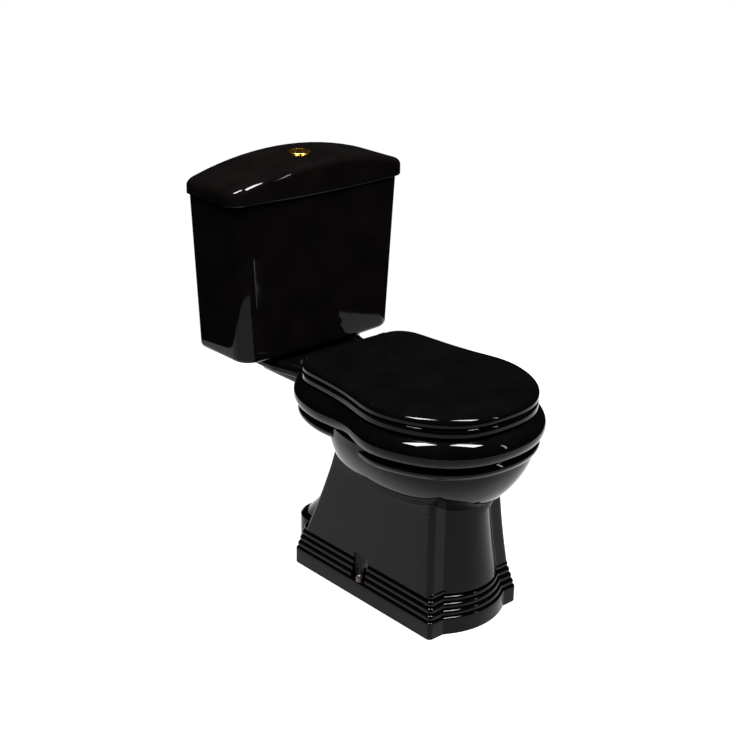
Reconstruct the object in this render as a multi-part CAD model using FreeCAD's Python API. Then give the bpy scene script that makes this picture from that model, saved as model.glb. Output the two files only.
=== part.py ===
import FreeCAD, Part
import math
import os

# Close coupled toilet, in millimetres. +Z is up, -Y is the front, the floor is Z = 0 and the
# origin is under the middle of the whole object. Each function below makes one real piece.

os.makedirs("parts", exist_ok=True)
V = FreeCAD.Vector

# ---------------------------------------------------------------- fits and clearances
running = 0.05          # radial, a pin in its barrel
sliding = 0.4           # radial, a rod or tube in a loose guide
loose = 1.0             # radial, a bolt or collar in a china hole
gap = 0.3               # between faces of pieces that move on each other
free_play = 1.0         # before a push leg or lever tip meets what it moves
cap_fit = 0.8           # between the cistern lid's skirt and the cistern

# ---------------------------------------------------------------- pan
overall_depth = 706.0   # front of the rim to the back of the cistern
rim_height = 426.0      # floor to the top of the rim
rim_width = 391.0
rim_roll = 60.0         # height of the rounded rim
rim_widest = 216.0      # front of the rim to its widest place
rim_tail = 67.0         # hinge line to the end of the rim's egg, under the cistern
egg_power = 2.2         # 2 is an ellipse, more is squarer

rim_land = 60.5         # width of the rim beside the opening
opening_front = 63.0    # width of the rim in front of the opening
opening_back = 86.0     # opening to the hinge line
channel_ring = 28.0     # width of the water channel round the rim
wash_holes = 18

bead_height = 11.0      # plain band between the rolled rim and the bowl
bead_inset = 9.0
bowl_inset = 15.0       # bowl's top edge inside the rim's outline
bowl_drop = 116.0       # height of the egg shaped bowl
bowl_tail = 108.0       # back of the bowl to the outlet's axis

wall = 12.0             # china wall
lip_depth = 55.0        # height of the straight inner wall of the rim
lip_overhang = 15.0     # hollow under the rim, where the water runs

trunk_width = 208.0
trunk_front = 79.0      # front of the rim to the trunk's front face
trunk_bow = 26.0        # how far the front face bows out, within trunk_front
trunk_back_top = 124.0  # trunk's back at the bowl to the outlet's axis
trunk_back_foot = 74.0  # the same at the foot
trunk_flare = 4.0

foot_step = 15.5        # how far the foot stands out beyond the trunk's side
foot_back = 44.0        # foot's back to the outlet's axis
foot_front = 64.0       # front of the rim to the foot's front
foot_bow = 22.0
foot_shoulder = 36.0    # flat part of the front at each side of the bow
foot_height = 36.5
ridge_count = 4
ridge_height = 13.0
ridge_step = 3.0
moulding_count = 3      # stepped plates between trunk and bowl
moulding_height = 7.0
moulding_step = 4.0

niche_width = 40.0      # gap in the ridges over each floor fixing
niche_from_back = 196.0 # foot's back to the middle of the niche
fixing_inset = 7.5      # foot's side to the fixing hole's axis
fixing_hole = 5.0       # radius
niche_pocket = 24.0     # height of the round pocket behind the floor fixing
screw_head = 5.0        # room for the screw's head under its cap

deck_width = 239.0
deck_taper = 22.5       # how much narrower each side is where it leaves the rim
deck_shoulder = 139.0   # full width starts this far in front of the cistern's back
deck_inset = 18.0       # deck's back edge in front of the cistern's back
deck_depth = 40.0
deck_skin = 14.0
channel_width = 104.0   # boss under the deck that carries the flush water
channel_depth = 76.0
channel_bore = 70.0
inlet_radius = 30.0
recess_radius = 52.0    # funnel for the doughnut washer
recess_depth = 21.0

trap_bore = 32.0        # radii
trap_wall = 10.0
trap_bend = 45.0
trap_reach = 293.0      # outlet's axis to the trap's entry
weir_drop = 226.0       # rim's top to the centre of the upper bend
trap_rise = 25.0        # lower bend's centre to the upper bend's centre
outlet_set_out = 170.0  # outlet's axis to the cistern's back
outlet_z = 60.0
outlet_radius = 51.0
outlet_bore = 42.0

# ---------------------------------------------------------------- cistern
cistern_gap = 7.0       # between deck and cistern
cistern_width = 436.0   # at the top
cistern_taper = 21.0    # how much narrower each side is at the bottom
cistern_depth = 151.0
cistern_bow = 7.0
cistern_body = 336.0
cistern_corner = 38.0
cistern_back_corner = 12.0
cistern_edge = 12.0     # rounding along the bottom
cistern_wall = 10.0
cistern_floor = 14.0

cap_overhang = 7.0      # how far the cistern lid stands out over the cistern
cap_skirt = 6.0         # how far its edge hangs below the cistern's top
cap_height = 64.0       # its lower edge to the top of its arch
cap_round = 12.0        # rounding along the top's edge
cap_edge = 1.2          # rounding along its lower edge
cap_crown = 36.0        # rise of the arch from its ends to its middle
cap_thickness = 14.0

# ---------------------------------------------------------------- seat and lid
seat_inset = 17.5       # rim's side to the seat's side
seat_front = 19.0       # front of the rim to the front of the seat
seat_waist = 31.0       # how much narrower each side is behind the middle
seat_waist_back = 90.0  # seat's back edge to its waist and to its hole
seat_thickness = 18.0
seat_round = 6.0
seat_hole_width = 212.0
seat_hole_front = 76.0
bumper_height = 4.0
bumper_radius = 9.0
lid_gap = 2.0
lid_edge = 18.0
lid_round = 10.0
lid_crown = 6.0
lid_wall = 12.0
lid_recess = 9.0

hinge_from_cistern = 76.0
hinge_behind_seat = 11.0
hinge_below_top = 1.0   # hinge axis below the seat ring's top face
hinge_spacing = 155.0
hinge_bar_radius = 4.0
hinge_bar_length = 218.0
barrel_radius = 9.0
barrel_length = 18.0
barrel_gap = 2.5
post_width = 18.0
post_flange = 3.0
post_flange_radius = 19.0
stud_radius = 4.0
stud_hole = 7.0
cone_height = 12.0      # rubber cone that centres the stud in its hole

# ---------------------------------------------------------------- flush button and valve
valve_set_out = 81.0    # cistern's back to the line of the button, valves and bolts
bezel_radius = 24.0
bezel_height = 4.0
collar_radius = 21.5
collar_wall = 2.5
collar_length = 38.0
button_split = 4.0      # X of the line between the two buttons
button_gap = 0.8
button_thickness = 10.0
button_travel = 6.0
full_rod_x = -8.0
half_rod_x = 11.0
rod_radius = 2.6
spring_radius = 5.6
spring_wire = 0.7
spring_turns = 5

tail_radius = 31.0      # flush valve's threaded tail
tail_bore = 27.0
tail_length = 38.0
flange_radius = 42.0
gasket_thickness = 3.0
basket_radius = 40.0
basket_height = 46.0
basket_wall = 4.0
plate = 4.0
tube_radius = 15.0
tube_wall = 2.5
seal_height = 3.7
collar_ring = 24.0      # radius of the ring that the full flush lever lifts
lever_thickness = 6.0
lever_width = 8.0
lever_pivot_x = 50.0
full_lever_reach = 33.0
half_lever_reach = 12.0
push_arm = 12.0         # pivot to the push leg
pin_radius = 2.5
column_y = 33.0
guide_x = 31.0
bridge_drop = 54.0      # cistern's top to the bridge that carries the levers
lever_drop = 28.0       # bridge to the levers' axis
bridge_half = 56.0
float_radius = 11.0

coupling_clear = 24.0   # water boss under the deck to the coupling bolt's axis
coupling_radius = 4.0

fill_inset = 41.0       # cistern's side to the fill valve's axis
fill_tail_radius = 10.5
fill_shank_radius = 11.5 # through the cistern's floor and the nut
fill_tail_length = 35.0
fill_body_radius = 11.0
fill_head_radius = 18.0
fill_head_drop = 129.0  # cistern's top to the underside of the valve's head
fill_head_height = 25.0
fill_cap_height = 7.0
fill_pivot_offset = 14.0
arm_rise = 40.0         # valve's head to the arm's axis
arm_length = 44.0
cup_radius = 20.0
cup_height = 50.0

# ---------------------------------------------------------------- places worked out from the sizes
front = -overall_depth / 2
back = overall_depth / 2
rim_bottom = rim_height - rim_roll
cistern_z = rim_height + cistern_gap
cistern_top = cistern_z + cistern_body
cistern_front = back - cistern_depth
cistern_inside = cistern_z + cistern_floor
cap_z = cistern_top - cap_skirt
cap_top = cap_z + cap_height
valve_y = back - valve_set_out
outlet_y = back - outlet_set_out
trap_entry_y = outlet_y - trap_reach
weir_z = rim_height - weir_drop
dip_z = weir_z - trap_rise
bowl_back_y = outlet_y - bowl_tail
seat_z = rim_height + bumper_height
seat_top = seat_z + seat_thickness
seat_half = rim_width / 2 - seat_inset
waist_half = seat_half - seat_waist
hinge_y = cistern_front - hinge_from_cistern
seat_back = hinge_y - hinge_behind_seat
waist_y = seat_back - seat_waist_back
lid_z = seat_top + lid_gap
hinge_z = seat_top - hinge_below_top
recess_z = rim_height - recess_depth
ridges_top = foot_height + ridge_count * ridge_height
bowl_top = rim_bottom - bead_height + 6.0
bowl_foot = bowl_top - bowl_drop
foot_half = trunk_width / 2 + foot_step
fixing_x = foot_half - fixing_inset
niche_y = outlet_y - foot_back - niche_from_back
deck_half = deck_width / 2
neck_half = deck_half - deck_taper
coupling_x = channel_width / 2 + coupling_clear
fill_x = cistern_width / 2 - cistern_taper - fill_inset
bridge_z = cistern_top - bridge_drop
lever_z = bridge_z - lever_drop
fill_head_z = cistern_top - fill_head_drop
arm_z = fill_head_z + arm_rise


# ---------------------------------------------------------------- shared shapes
def cylinder(radius, z0, z1, x=0.0, y=0.0):
    return Part.makeCylinder(radius, z1 - z0, V(x, y, z0))


def ring(outer, inner, z0, z1, x=0.0, y=0.0):
    return cylinder(outer, z0, z1, x, y).cut(cylinder(inner, z0 - 1, z1 + 1, x, y))


def block(x0, x1, y0, y1, z0, z1):
    return Part.makeBox(x1 - x0, y1 - y0, z1 - z0, V(x0, y0, z0))


def cross_pin(radius, x0, x1, y, z):
    """A round bar along X."""
    return Part.makeCylinder(radius, x1 - x0, V(x0, y, z), V(1, 0, 0))


def pivot_pin(radius, length, x, y, z):
    """A round bar along Y, centred on the given point."""
    return Part.makeCylinder(radius, length, V(x, y - length / 2, z), V(0, 1, 0))


def hex_bar(across_flats, z0, z1, x, y):
    r = across_flats / math.sqrt(3)
    corners = [V(x + r * math.cos(math.radians(a)), y + r * math.sin(math.radians(a)), z0)
               for a in range(0, 361, 60)]
    return Part.Face(Part.makePolygon(corners)).extrude(V(0, 0, z1 - z0))


def wing_nut(radius, height, span, bore, z_top, x, y):
    body = cylinder(radius, z_top - height, z_top, x, y)
    wings = block(x - 2, x + 2, y - span, y + span, z_top - height, z_top - height / 3)
    return body.fuse(wings).cut(cylinder(bore, z_top - height - 1, z_top + 1, x, y))


def mirrored(shape):
    return shape.mirror(V(0, 0, 0), V(1, 0, 0))


def both_sides(shape):
    return [shape, mirrored(shape)]


def joined(shapes):
    return shapes[0].fuse(shapes[1:]).removeSplitter()


def export(name, shapes):
    solids = shapes if isinstance(shapes, list) else [shapes]
    whole = Part.makeCompound(solids) if len(solids) > 1 else solids[0]
    whole.exportStep("parts/%s.step" % name)


def rounded(corners, z):
    """A closed wire of straight runs and tangent arcs through (x, y, radius) corners."""
    count = len(corners)
    edges = []
    arcs = []
    for i in range(count):
        x, y, r = corners[i]
        here = V(x, y, z)
        to_last = (V(*corners[i - 1][:2], z) - here).normalize()
        to_next = (V(*corners[(i + 1) % count][:2], z) - here).normalize()
        half_angle = to_last.getAngle(to_next) / 2
        run = r / math.tan(half_angle)
        middle = (to_last + to_next).normalize()
        bulge = r / math.sin(half_angle) - r
        arcs.append((here + to_last * run, here + middle * bulge, here + to_next * run))
    for i in range(count):
        start, through, end = arcs[i]
        edges.append(Part.Arc(start, through, end).toShape())
        edges.append(Part.LineSegment(end, arcs[(i + 1) % count][0]).toShape())
    return Part.Wire(edges)


def bow_radius(half_chord, rise):
    """Radius of the corner that makes a bow: its tangents run most of the way to the chord's ends."""
    reach = 0.85 * math.hypot(half_chord, 2 * rise)
    return reach * half_chord / (2 * rise)


def egg(half, y_front, y_widest, y_back, z):
    """A smooth closed egg, round at both ends."""
    steps = 24
    points = []
    for i in range(steps):
        turn = 2 * math.pi * i / steps
        c = math.cos(turn)
        s = math.sin(turn)
        reach = y_front - y_widest if c > 0 else y_widest - y_back
        x = half * math.copysign(abs(s) ** (2 / egg_power), s)
        y = y_widest + reach * math.copysign(abs(c) ** (2 / egg_power), c)
        points.append(V(x, y, z))
    curve = Part.BSplineCurve()
    curve.interpolate(Points=points, PeriodicFlag=True)
    return Part.Wire([curve.toShape()])


def ladder(outline, z0, z1, round0, round1):
    """Outlines up a wall whose bottom and top edges are rounded; outline(inset, z) makes a wire."""
    steps = 4
    wires = []
    for i in range(steps + 1):
        a = math.pi / 2 * i / steps
        wires.append(outline(round0 * (1 - math.sin(a)), z0 + round0 * (1 - math.cos(a))))
    for i in range(steps + 1):
        a = math.pi / 2 * i / steps
        z = z1 - round1 * (1 - math.sin(a))
        if i or z - z0 - round0 > 0.01:
            wires.append(outline(round1 * (1 - math.cos(a)), z))
    return wires


def loft(wires):
    return Part.makeLoft(wires, True, True)


# ---------------------------------------------------------------- outlines of the pan
def rim_outline(inset, z):
    return egg(rim_width / 2 - inset, front + inset, front + rim_widest, hinge_y + rim_tail - inset, z)


def opening_outline(inset, z):
    y0 = front + opening_front
    y1 = hinge_y - opening_back
    return egg(rim_width / 2 - rim_land - inset, y0 + inset, (y0 + y1) / 2, y1 - inset, z)


def foot_outline(half, y_front, bow, shoulder, y_back, z):
    y_shoulder = y_front + bow
    bow_half = half - shoulder
    left = [(-half, y_back, 10.0), (-half, y_shoulder, 9.0), (-bow_half, y_shoulder, 4.0)]
    right = [(-x, y, r) for x, y, r in reversed(left)]
    nose = (0.0, y_shoulder - 2 * bow, bow_radius(bow_half, bow))
    return rounded(left + [nose] + right, z)


def plinth_outline(inset, z):
    return foot_outline(foot_half - inset, front + foot_front + inset, foot_bow,
                        foot_shoulder, outlet_y - foot_back - inset, z)


def trunk_outline(inset, z):
    rise = (z - ridges_top) / (bowl_foot - ridges_top)
    y_back = outlet_y - trunk_back_foot + (trunk_back_foot - trunk_back_top) * rise
    flare = trunk_flare * max(0.0, 1 - rise)
    return foot_outline(trunk_width / 2 + flare - inset, front + trunk_front - flare + inset,
                        trunk_bow, foot_shoulder, y_back + flare - inset, z)


def bowl_outline(drop, inset):
    """The bowl's outside, drop is 0 at its top edge and 1 where it meets the trunk."""
    swell = (1 - drop ** 1.8) ** 0.8
    top_half = rim_width / 2 - bowl_inset
    half = trunk_width / 2 + (top_half - trunk_width / 2) * swell - inset
    y_front = front + bowl_inset + (trunk_front - bowl_inset) * (1 - swell) + inset
    y_back = bowl_back_y - 16.0 * (1 - swell) - inset
    y_widest = y_front + 0.5 * (y_back - y_front)
    return egg(half, y_front, y_widest, y_back, bowl_top - bowl_drop * drop)


def basin_wires(thickness):
    """Inside of the bowl from under the rim down to the trap, grown by a wall thickness."""
    top_half = rim_width / 2 - rim_land + lip_overhang
    low_half = trap_bore + 2.0
    ceiling = rim_height - lip_depth
    floor_z = weir_z + 5.0
    levels = 8
    wires = []
    for i in range(levels + 1):
        drop = i / levels
        swell = (1 - drop ** 1.9) ** 0.75
        half = low_half + (top_half - low_half) * swell
        y_front = trap_entry_y - low_half - (trap_entry_y - low_half - front
                                             - opening_front + lip_overhang + 8.0) * swell
        y_back = trap_entry_y + low_half + (bowl_back_y - 5.0 - trap_entry_y - low_half) * swell
        z = ceiling - (ceiling - floor_z) * drop
        wires.append(egg(half + thickness, y_front - thickness, (y_front + y_back) / 2,
                         y_back + thickness, z - thickness * drop))
    return wires


def trap_path(z_end):
    """Centre line of the trap: down from the bowl, under, over the weir and down to the outlet."""
    up_y = trap_entry_y + 2 * trap_bend
    top_centre = V(0, up_y + trap_bend, weir_z)
    elbow = V(0, outlet_y, outlet_z / 2)
    slope = elbow - top_centre
    distance = slope.Length
    lean = math.atan2(slope.y, -slope.z) - math.asin(trap_bend / distance)
    leave = V(0, math.cos(lean), math.sin(lean)) * trap_bend + top_centre
    crest = V(0, 0, trap_bend) + top_centre
    run = 12.0
    down = (elbow - leave).normalize()
    before = elbow - down * run
    after = elbow - V(0, 0, run)
    inner = (V(0, 0, -1) - down).normalize()
    turn = down.getAngle(V(0, 0, -1))
    bend = run / math.tan(turn / 2)
    mid = elbow + inner * (bend / math.cos(turn / 2) - bend)
    entry = V(0, trap_entry_y, weir_z + 25.0)
    dip_start = V(0, trap_entry_y, dip_z)
    dip_low = V(0, trap_entry_y + trap_bend, dip_z - trap_bend)
    dip_end = V(0, up_y, dip_z)
    return Part.Wire([
        Part.LineSegment(entry, dip_start).toShape(),
        Part.Arc(dip_start, dip_low, dip_end).toShape(),
        Part.LineSegment(dip_end, V(0, up_y, weir_z)).toShape(),
        Part.Arc(V(0, up_y, weir_z), crest, leave).toShape(),
        Part.LineSegment(leave, before).toShape(),
        Part.Arc(before, mid, after).toShape(),
        Part.LineSegment(after, V(0, outlet_y, z_end)).toShape(),
    ])


def trap_tube(radius, z_end):
    path = trap_path(z_end)
    section = Part.Wire([Part.makeCircle(radius, V(0, trap_entry_y, weir_z + 25.0), V(0, 0, 1))])
    return path.makePipeShell([section], True, False)


# ---------------------------------------------------------------- the pan's solids
def deck_body():
    """A tray upside down under the cistern, with a boss in the middle for the flush water."""
    y_back = back - deck_inset
    y_full = back - deck_shoulder

    def outline(inset, z):
        left = [(-deck_half + inset, y_back - inset, 20.0), (-deck_half + inset, y_full, 30.0),
                (-neck_half + inset, hinge_y - 6.0, 20.0), (-neck_half + inset, hinge_y - 60.0, 5.0)]
        return rounded(left + [(-x, y, r) for x, y, r in reversed(left)], z)

    z0 = rim_height - deck_depth
    tray = loft(ladder(outline, z0, rim_height, 6.0, 8.0))

    def pocket(inset, z):
        left = [(-deck_half + wall, y_back - wall, 10.0), (-deck_half + wall, y_full, 20.0),
                (-neck_half + wall, hinge_y + 45.0, 8.0)]
        return rounded(left + [(-x, y, r) for x, y, r in reversed(left)], z)

    hollow = loft([pocket(0, z0 - 1), pocket(0, rim_height - deck_skin)])
    boss = block(-channel_width / 2, channel_width / 2, bowl_back_y - 46.0,
                 valve_y + recess_radius + 8.0, rim_height - channel_depth, rim_height - 5.0)
    corners = [e for e in boss.Edges if abs(e.BoundBox.YLength) > 10 and e.BoundBox.ZMin < rim_bottom]
    boss = boss.makeFillet(16.0, corners)
    around = cylinder(recess_radius + wall, recess_z - wall, rim_height - 5.0, 0, valve_y)
    return tray.cut(hollow), boss.fuse(around)


def flush_way():
    """The hollow that carries water from the cistern round the rim."""
    recess = cylinder(recess_radius, recess_z, rim_height + 1, 0, valve_y)
    low = rim_height - channel_depth + wall
    well = cylinder(inlet_radius, low, rim_height, 0, valve_y)
    lead = block(-channel_bore / 2, channel_bore / 2, hinge_y - opening_back + 20.0,
                 valve_y, low, recess_z - wall)
    z0 = rim_height - lip_depth + wall
    z1 = rim_height - wall - 2.0
    far = -wall - channel_ring
    ring_way = loft([opening_outline(far, z0), opening_outline(far, z1)])
    ring_way = ring_way.cut(loft([opening_outline(-wall, z0 - 1), opening_outline(-wall, z1 + 1)]))
    holes = []
    spot = opening_outline(-wall - 8.0, z0).Edges[0]
    first, last = spot.ParameterRange
    for i in range(wash_holes):
        p = spot.valueAt(first + (last - first) * (i + 0.5) / wash_holes)
        holes.append(cylinder(3.0, rim_height - lip_depth - 30.0, z0 + 2, p.x, p.y))
    return [recess.fuse(well), lead, ring_way] + holes


def pan():
    rim = loft(ladder(rim_outline, rim_bottom, rim_height, rim_roll / 2, rim_roll / 2))
    bead = loft([rim_outline(bead_inset + 3, rim_bottom - bead_height),
                 rim_outline(bead_inset, rim_bottom - bead_height / 2),
                 rim_outline(bead_inset, rim_bottom + 8.0)])
    bead = bead.common(block(-rim_width, rim_width, front - 1, bowl_back_y - 5.0, 0, rim_height))
    bowl = loft([bowl_outline(d / 10, 0.0) for d in range(10)] + [bowl_outline(0.96, 0.0)])
    trunk = loft([trunk_outline(0.0, ridges_top - 5.0), trunk_outline(0.0, ridges_top + 40.0),
                  trunk_outline(0.0, bowl_foot), trunk_outline(0.0, bowl_foot + 50.0)])
    shells = [rim, bead, bowl, trunk]
    for i in range(moulding_count):
        z0 = bowl_foot - (i - 1) * moulding_height
        inset = -moulding_step * (moulding_count - i)
        shells.append(loft([trunk_outline(inset + 1.5, z0 - moulding_height - 0.5),
                            trunk_outline(inset, z0 - moulding_height / 2),
                            trunk_outline(inset + 1.5, z0)]))
    shells.append(loft(ladder(plinth_outline, 0.0, foot_height, 0.6, 3.0)))
    for i in range(ridge_count):
        z0 = foot_height + i * ridge_height
        inset = ridge_step * (i + 1) - 1.0
        shells.append(loft([plinth_outline(inset + 3.0, z0 - 0.5),
                            plinth_outline(inset + 0.7, z0 + ridge_height * 0.2),
                            plinth_outline(inset, z0 + ridge_height * 0.5),
                            plinth_outline(inset + 0.7, z0 + ridge_height * 0.8),
                            plinth_outline(inset + 3.5, z0 + ridge_height)]))
    tray, boss = deck_body()
    outside = shells[0].fuse(shells[1:] + [tray, boss])

    lining = loft(basin_wires(wall))
    trap = trap_tube(trap_bore + trap_wall, 0.0)
    spigot = cylinder(outlet_radius, 0.0, outlet_z, 0, outlet_y)
    hollow_top = weir_z + 40.0
    foot_hollow = loft([trunk_outline(wall + 4.0, -1.0), trunk_outline(wall, ridges_top),
                        trunk_outline(wall, hollow_top)])
    bowl_hollow = loft([bowl_outline(d / 10, wall + 2.0) for d in range(1, 10)])
    foot_hollow = foot_hollow.fuse(bowl_hollow).cut(lining.fuse([trap, spigot]))
    outside = outside.cut(foot_hollow).fuse([trap, spigot])

    basin = loft(basin_wires(0.0))
    mouth = loft([opening_outline(0.0, rim_height - lip_depth - 0.5),
                  opening_outline(0.0, rim_height - 6.0), opening_outline(-4.0, rim_height + 0.5)])
    waste = trap_tube(trap_bore, -1.0)
    socket = cylinder(outlet_bore, -1.0, outlet_z - 8.0, 0, outlet_y)
    cuts = [basin, mouth, waste, socket] + flush_way()
    cuts += both_sides(cylinder(stud_hole, rim_bottom - 5, rim_height + 1, hinge_spacing / 2, hinge_y))
    cuts += both_sides(cylinder(coupling_radius + loose + 1.0, rim_height - deck_skin - 5,
                                rim_height + 1, coupling_x, valve_y))
    cuts += both_sides(block(trunk_width / 2 + trunk_flare + 0.5, foot_half + 5.0,
                             niche_y - niche_width / 2, niche_y + niche_width / 2,
                             foot_height, ridges_top + 2.0))
    cuts += both_sides(cylinder(fixing_inset + loose, foot_height, foot_height + niche_pocket,
                                fixing_x, niche_y))
    cuts += both_sides(cylinder(fixing_hole, -1.0, foot_height + 1, fixing_x, niche_y))
    return outside.cut(cuts)


# ---------------------------------------------------------------- cistern
def cistern_outline(half, y_front, y_back, z, corner):
    left = [(-half, y_back, cistern_back_corner), (-half, y_front, corner)]
    nose = (0.0, y_front - 2 * cistern_bow, bow_radius(half, cistern_bow) * 0.6)
    return rounded(left + [nose] + [(-x, y, r) for x, y, r in reversed(left)], z)


def cistern_half(z):
    return cistern_width / 2 - cistern_taper * (cistern_top - z) / cistern_body


def cistern_wire(inset, z):
    return cistern_outline(cistern_half(z) - inset, cistern_front + inset, back - inset, z,
                           cistern_corner - min(inset, 20.0))


def cistern():
    body = loft(ladder(cistern_wire, cistern_z, cistern_top, cistern_edge, 3.0))
    inside = loft([cistern_wire(cistern_wall + 6.0, cistern_inside),
                   cistern_wire(cistern_wall, cistern_inside + 8.0),
                   cistern_wire(cistern_wall, cistern_top + 1.0)])
    holes = [cylinder(tail_radius + loose, cistern_z - 1, cistern_inside + 1, 0, valve_y),
             cylinder(fill_shank_radius + loose, cistern_z - 1, cistern_inside + 1, fill_x, valve_y)]
    holes += both_sides(cylinder(coupling_radius + loose, cistern_z - 1, cistern_inside + 1,
                                 coupling_x, valve_y))
    return body.cut([inside] + holes)


def cap_wire(inset, z):
    half = cistern_width / 2 + cap_overhang - inset
    return cistern_outline(half, cistern_front - cap_overhang + inset, back - inset, z,
                           cistern_corner - min(inset, 25.0))


def cap_arch(depth):
    """The space under an arch from end to end of the cistern lid, depth below its top."""
    half = cistern_width / 2 + cap_overhang
    radius = (half ** 2 + cap_crown ** 2) / (2 * cap_crown)
    reach = half + cap_overhang             # the arch runs on past the ends
    low, top = cap_z - 5.0, cap_top - depth
    end = top - radius + math.sqrt(radius ** 2 - reach ** 2)
    y = cistern_front - 2 * cap_overhang - cistern_bow
    arc = Part.Arc(V(-reach, y, end), V(0, y, top), V(reach, y, end)).toShape()
    sides = Part.makePolygon([V(reach, y, end), V(reach, y, low), V(-reach, y, low), V(-reach, y, end)])
    return Part.Face(Part.Wire([arc] + sides.Edges)).extrude(V(0, back - y + 5.0, 0))


def cistern_lid():
    block_top = cap_top + 10.0
    body = Part.Face(cap_wire(0.0, cap_z)).extrude(V(0, 0, block_top - cap_z)).common(cap_arch(0.0))
    body = body.makeFillet(cap_round, [e for e in body.Edges
                                       if e.BoundBox.ZMin > cap_top - cap_crown - 5.0])
    body = body.makeFillet(cap_edge, [e for e in body.Edges if e.BoundBox.ZMax < cap_z + 0.01])
    rebate = loft([cistern_wire(-cap_fit, cap_z - 1.0), cistern_wire(-cap_fit, cistern_top)])
    hollow_inset = cistern_wall + 6.0
    hollow = loft([cap_wire(hollow_inset, cap_z - 1.0), cap_wire(hollow_inset, block_top)])
    hollow = hollow.common(cap_arch(cap_thickness))
    dome = cylinder(collar_radius + 12.0, cap_z, cap_top - cap_thickness, 0, valve_y)
    hole = cylinder(collar_radius + loose, cap_z - 1, block_top, 0, valve_y)
    spot_face = cylinder(bezel_radius + 1.0, cap_top - 1.0, block_top, 0, valve_y)
    return body.cut([rebate, hollow, dome, hole, spot_face])


# ---------------------------------------------------------------- seat and lid
def seat_points(inset, shrink=1.0):
    """Half outline of the seat, front to back: round nose, widest, waist, rounded back corner."""
    y_front = front + seat_front
    y_widest = front + rim_widest
    points = []
    for degrees in (0, 22.5, 45, 67.5, 90):
        a = math.radians(degrees)
        points.append((seat_half * math.sin(a) ** (2 / egg_power),
                       y_widest - (y_widest - y_front) * math.cos(a) ** (2 / egg_power)))
    points += [((seat_half + waist_half) / 2, (y_widest + waist_y) / 2 - 4.0), (waist_half, waist_y),
               (waist_half - 7.0, seat_back - 32.0), (waist_half - 24.0, seat_back - 8.0),
               (waist_half - 62.0, seat_back), (0.0, seat_back + 1.0)]
    loop = points + [(-x, y) for x, y in reversed(points[1:-1])]
    count = len(loop)
    moved = []
    for i in range(count):
        x0, y0 = loop[i - 1]
        x1, y1 = loop[(i + 1) % count]
        length = math.hypot(x1 - x0, y1 - y0)
        nx = -(y1 - y0) / length
        ny = (x1 - x0) / length
        moved.append((loop[i][0] + nx * inset, loop[i][1] + ny * inset))
    middle = (y_front + seat_back) / 2
    return [(x * shrink, middle + (y - middle) * shrink) for x, y in moved]


def seat_wire(inset, z, shrink=1.0):
    curve = Part.BSplineCurve()
    curve.interpolate(Points=[V(x, y, z) for x, y in seat_points(inset, shrink)], PeriodicFlag=True)
    return Part.Wire([curve.toShape()])


def seat_hole(inset, z):
    y0 = front + seat_front + seat_hole_front
    return egg(seat_hole_width / 2 - inset, y0 + inset, (y0 + waist_y) / 2, waist_y - inset, z)


def barrel(x0, x1, z_low, z_high):
    """A hinge barrel with the arm that joins it to the back edge of the seat or lid."""
    tube = cross_pin(barrel_radius, x0, x1, hinge_y, hinge_z)
    arm = block(x0, x1, seat_back - 30.0, hinge_y, z_low, z_high)
    return tube.fuse(arm)


def seat_ring():
    plate_solid = loft(ladder(seat_wire, seat_z, seat_top, 3.0, seat_round))
    hole = loft([seat_hole(0.0, seat_z - 1), seat_hole(0.0, seat_top - 6.0), seat_hole(-5.0, seat_top + 1)])
    x0 = hinge_spacing / 2 - post_width / 2 - barrel_gap - barrel_length
    arms = both_sides(barrel(x0, x0 + barrel_length, hinge_z - 8.0, seat_top - 2.0))
    bore = cross_pin(hinge_bar_radius + running, -hinge_bar_length, hinge_bar_length, hinge_y, hinge_z)
    return plate_solid.cut(hole).fuse(arms).cut(bore)


def seat_lid():
    edge = lid_edge - lid_round
    wires = [seat_wire(2.0, lid_z), seat_wire(0.0, lid_z + 2.0), seat_wire(0.0, lid_z + edge)]
    for i in range(1, 4):
        a = math.pi / 6 * i
        wires.append(seat_wire(lid_round * (1 - math.cos(a)), lid_z + edge + lid_round * math.sin(a)))
    top = lid_z + lid_edge
    for shrink, rise in ((0.82, 0.35), (0.6, 0.68), (0.36, 0.9), (0.12, 1.0)):
        wires.append(seat_wire(lid_round, top + lid_crown * rise, shrink))
    shell = loft(wires)
    recess = loft([seat_wire(lid_wall, lid_z - 1.0), seat_wire(lid_wall, lid_z + lid_recess - 3.0),
                   seat_wire(lid_wall + 4.0, lid_z + lid_recess)])
    x0 = hinge_spacing / 2 + post_width / 2 + barrel_gap
    arms = both_sides(barrel(x0, x0 + barrel_length, lid_z, lid_z + 10.0))
    bore = cross_pin(hinge_bar_radius + running, -hinge_bar_length, hinge_bar_length, hinge_y, hinge_z)
    return shell.cut(recess).fuse(arms).cut(bore)


def pads(spots, z0, z1):
    return [cylinder(bumper_radius, z0, z1, x, y) for x, y in spots]


def bumper_spots():
    x_front = seat_hole_width / 4 + seat_half / 2 + bumper_radius
    x_back = waist_half - 27.0
    y_front = front + rim_widest - 20.0
    y_back = seat_back - 65.0
    return [(x_front, y_front), (-x_front, y_front), (x_back, y_back), (-x_back, y_back)]


def hinge_post(x):
    base = cylinder(post_flange_radius, rim_height, rim_height + post_flange, x, hinge_y)
    pillar = block(x - post_width / 2, x + post_width / 2, hinge_y - 9.0, hinge_y + 9.0,
                   rim_height, hinge_z)
    head = cross_pin(9.0, x - post_width / 2, x + post_width / 2, hinge_y, hinge_z)
    bore = cross_pin(hinge_bar_radius + running, x - post_width, x + post_width, hinge_y, hinge_z)
    socket = cylinder(stud_radius, rim_height - 1, rim_height + 8.0, x, hinge_y)
    return base.fuse([pillar, head]).cut([bore, socket])


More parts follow.
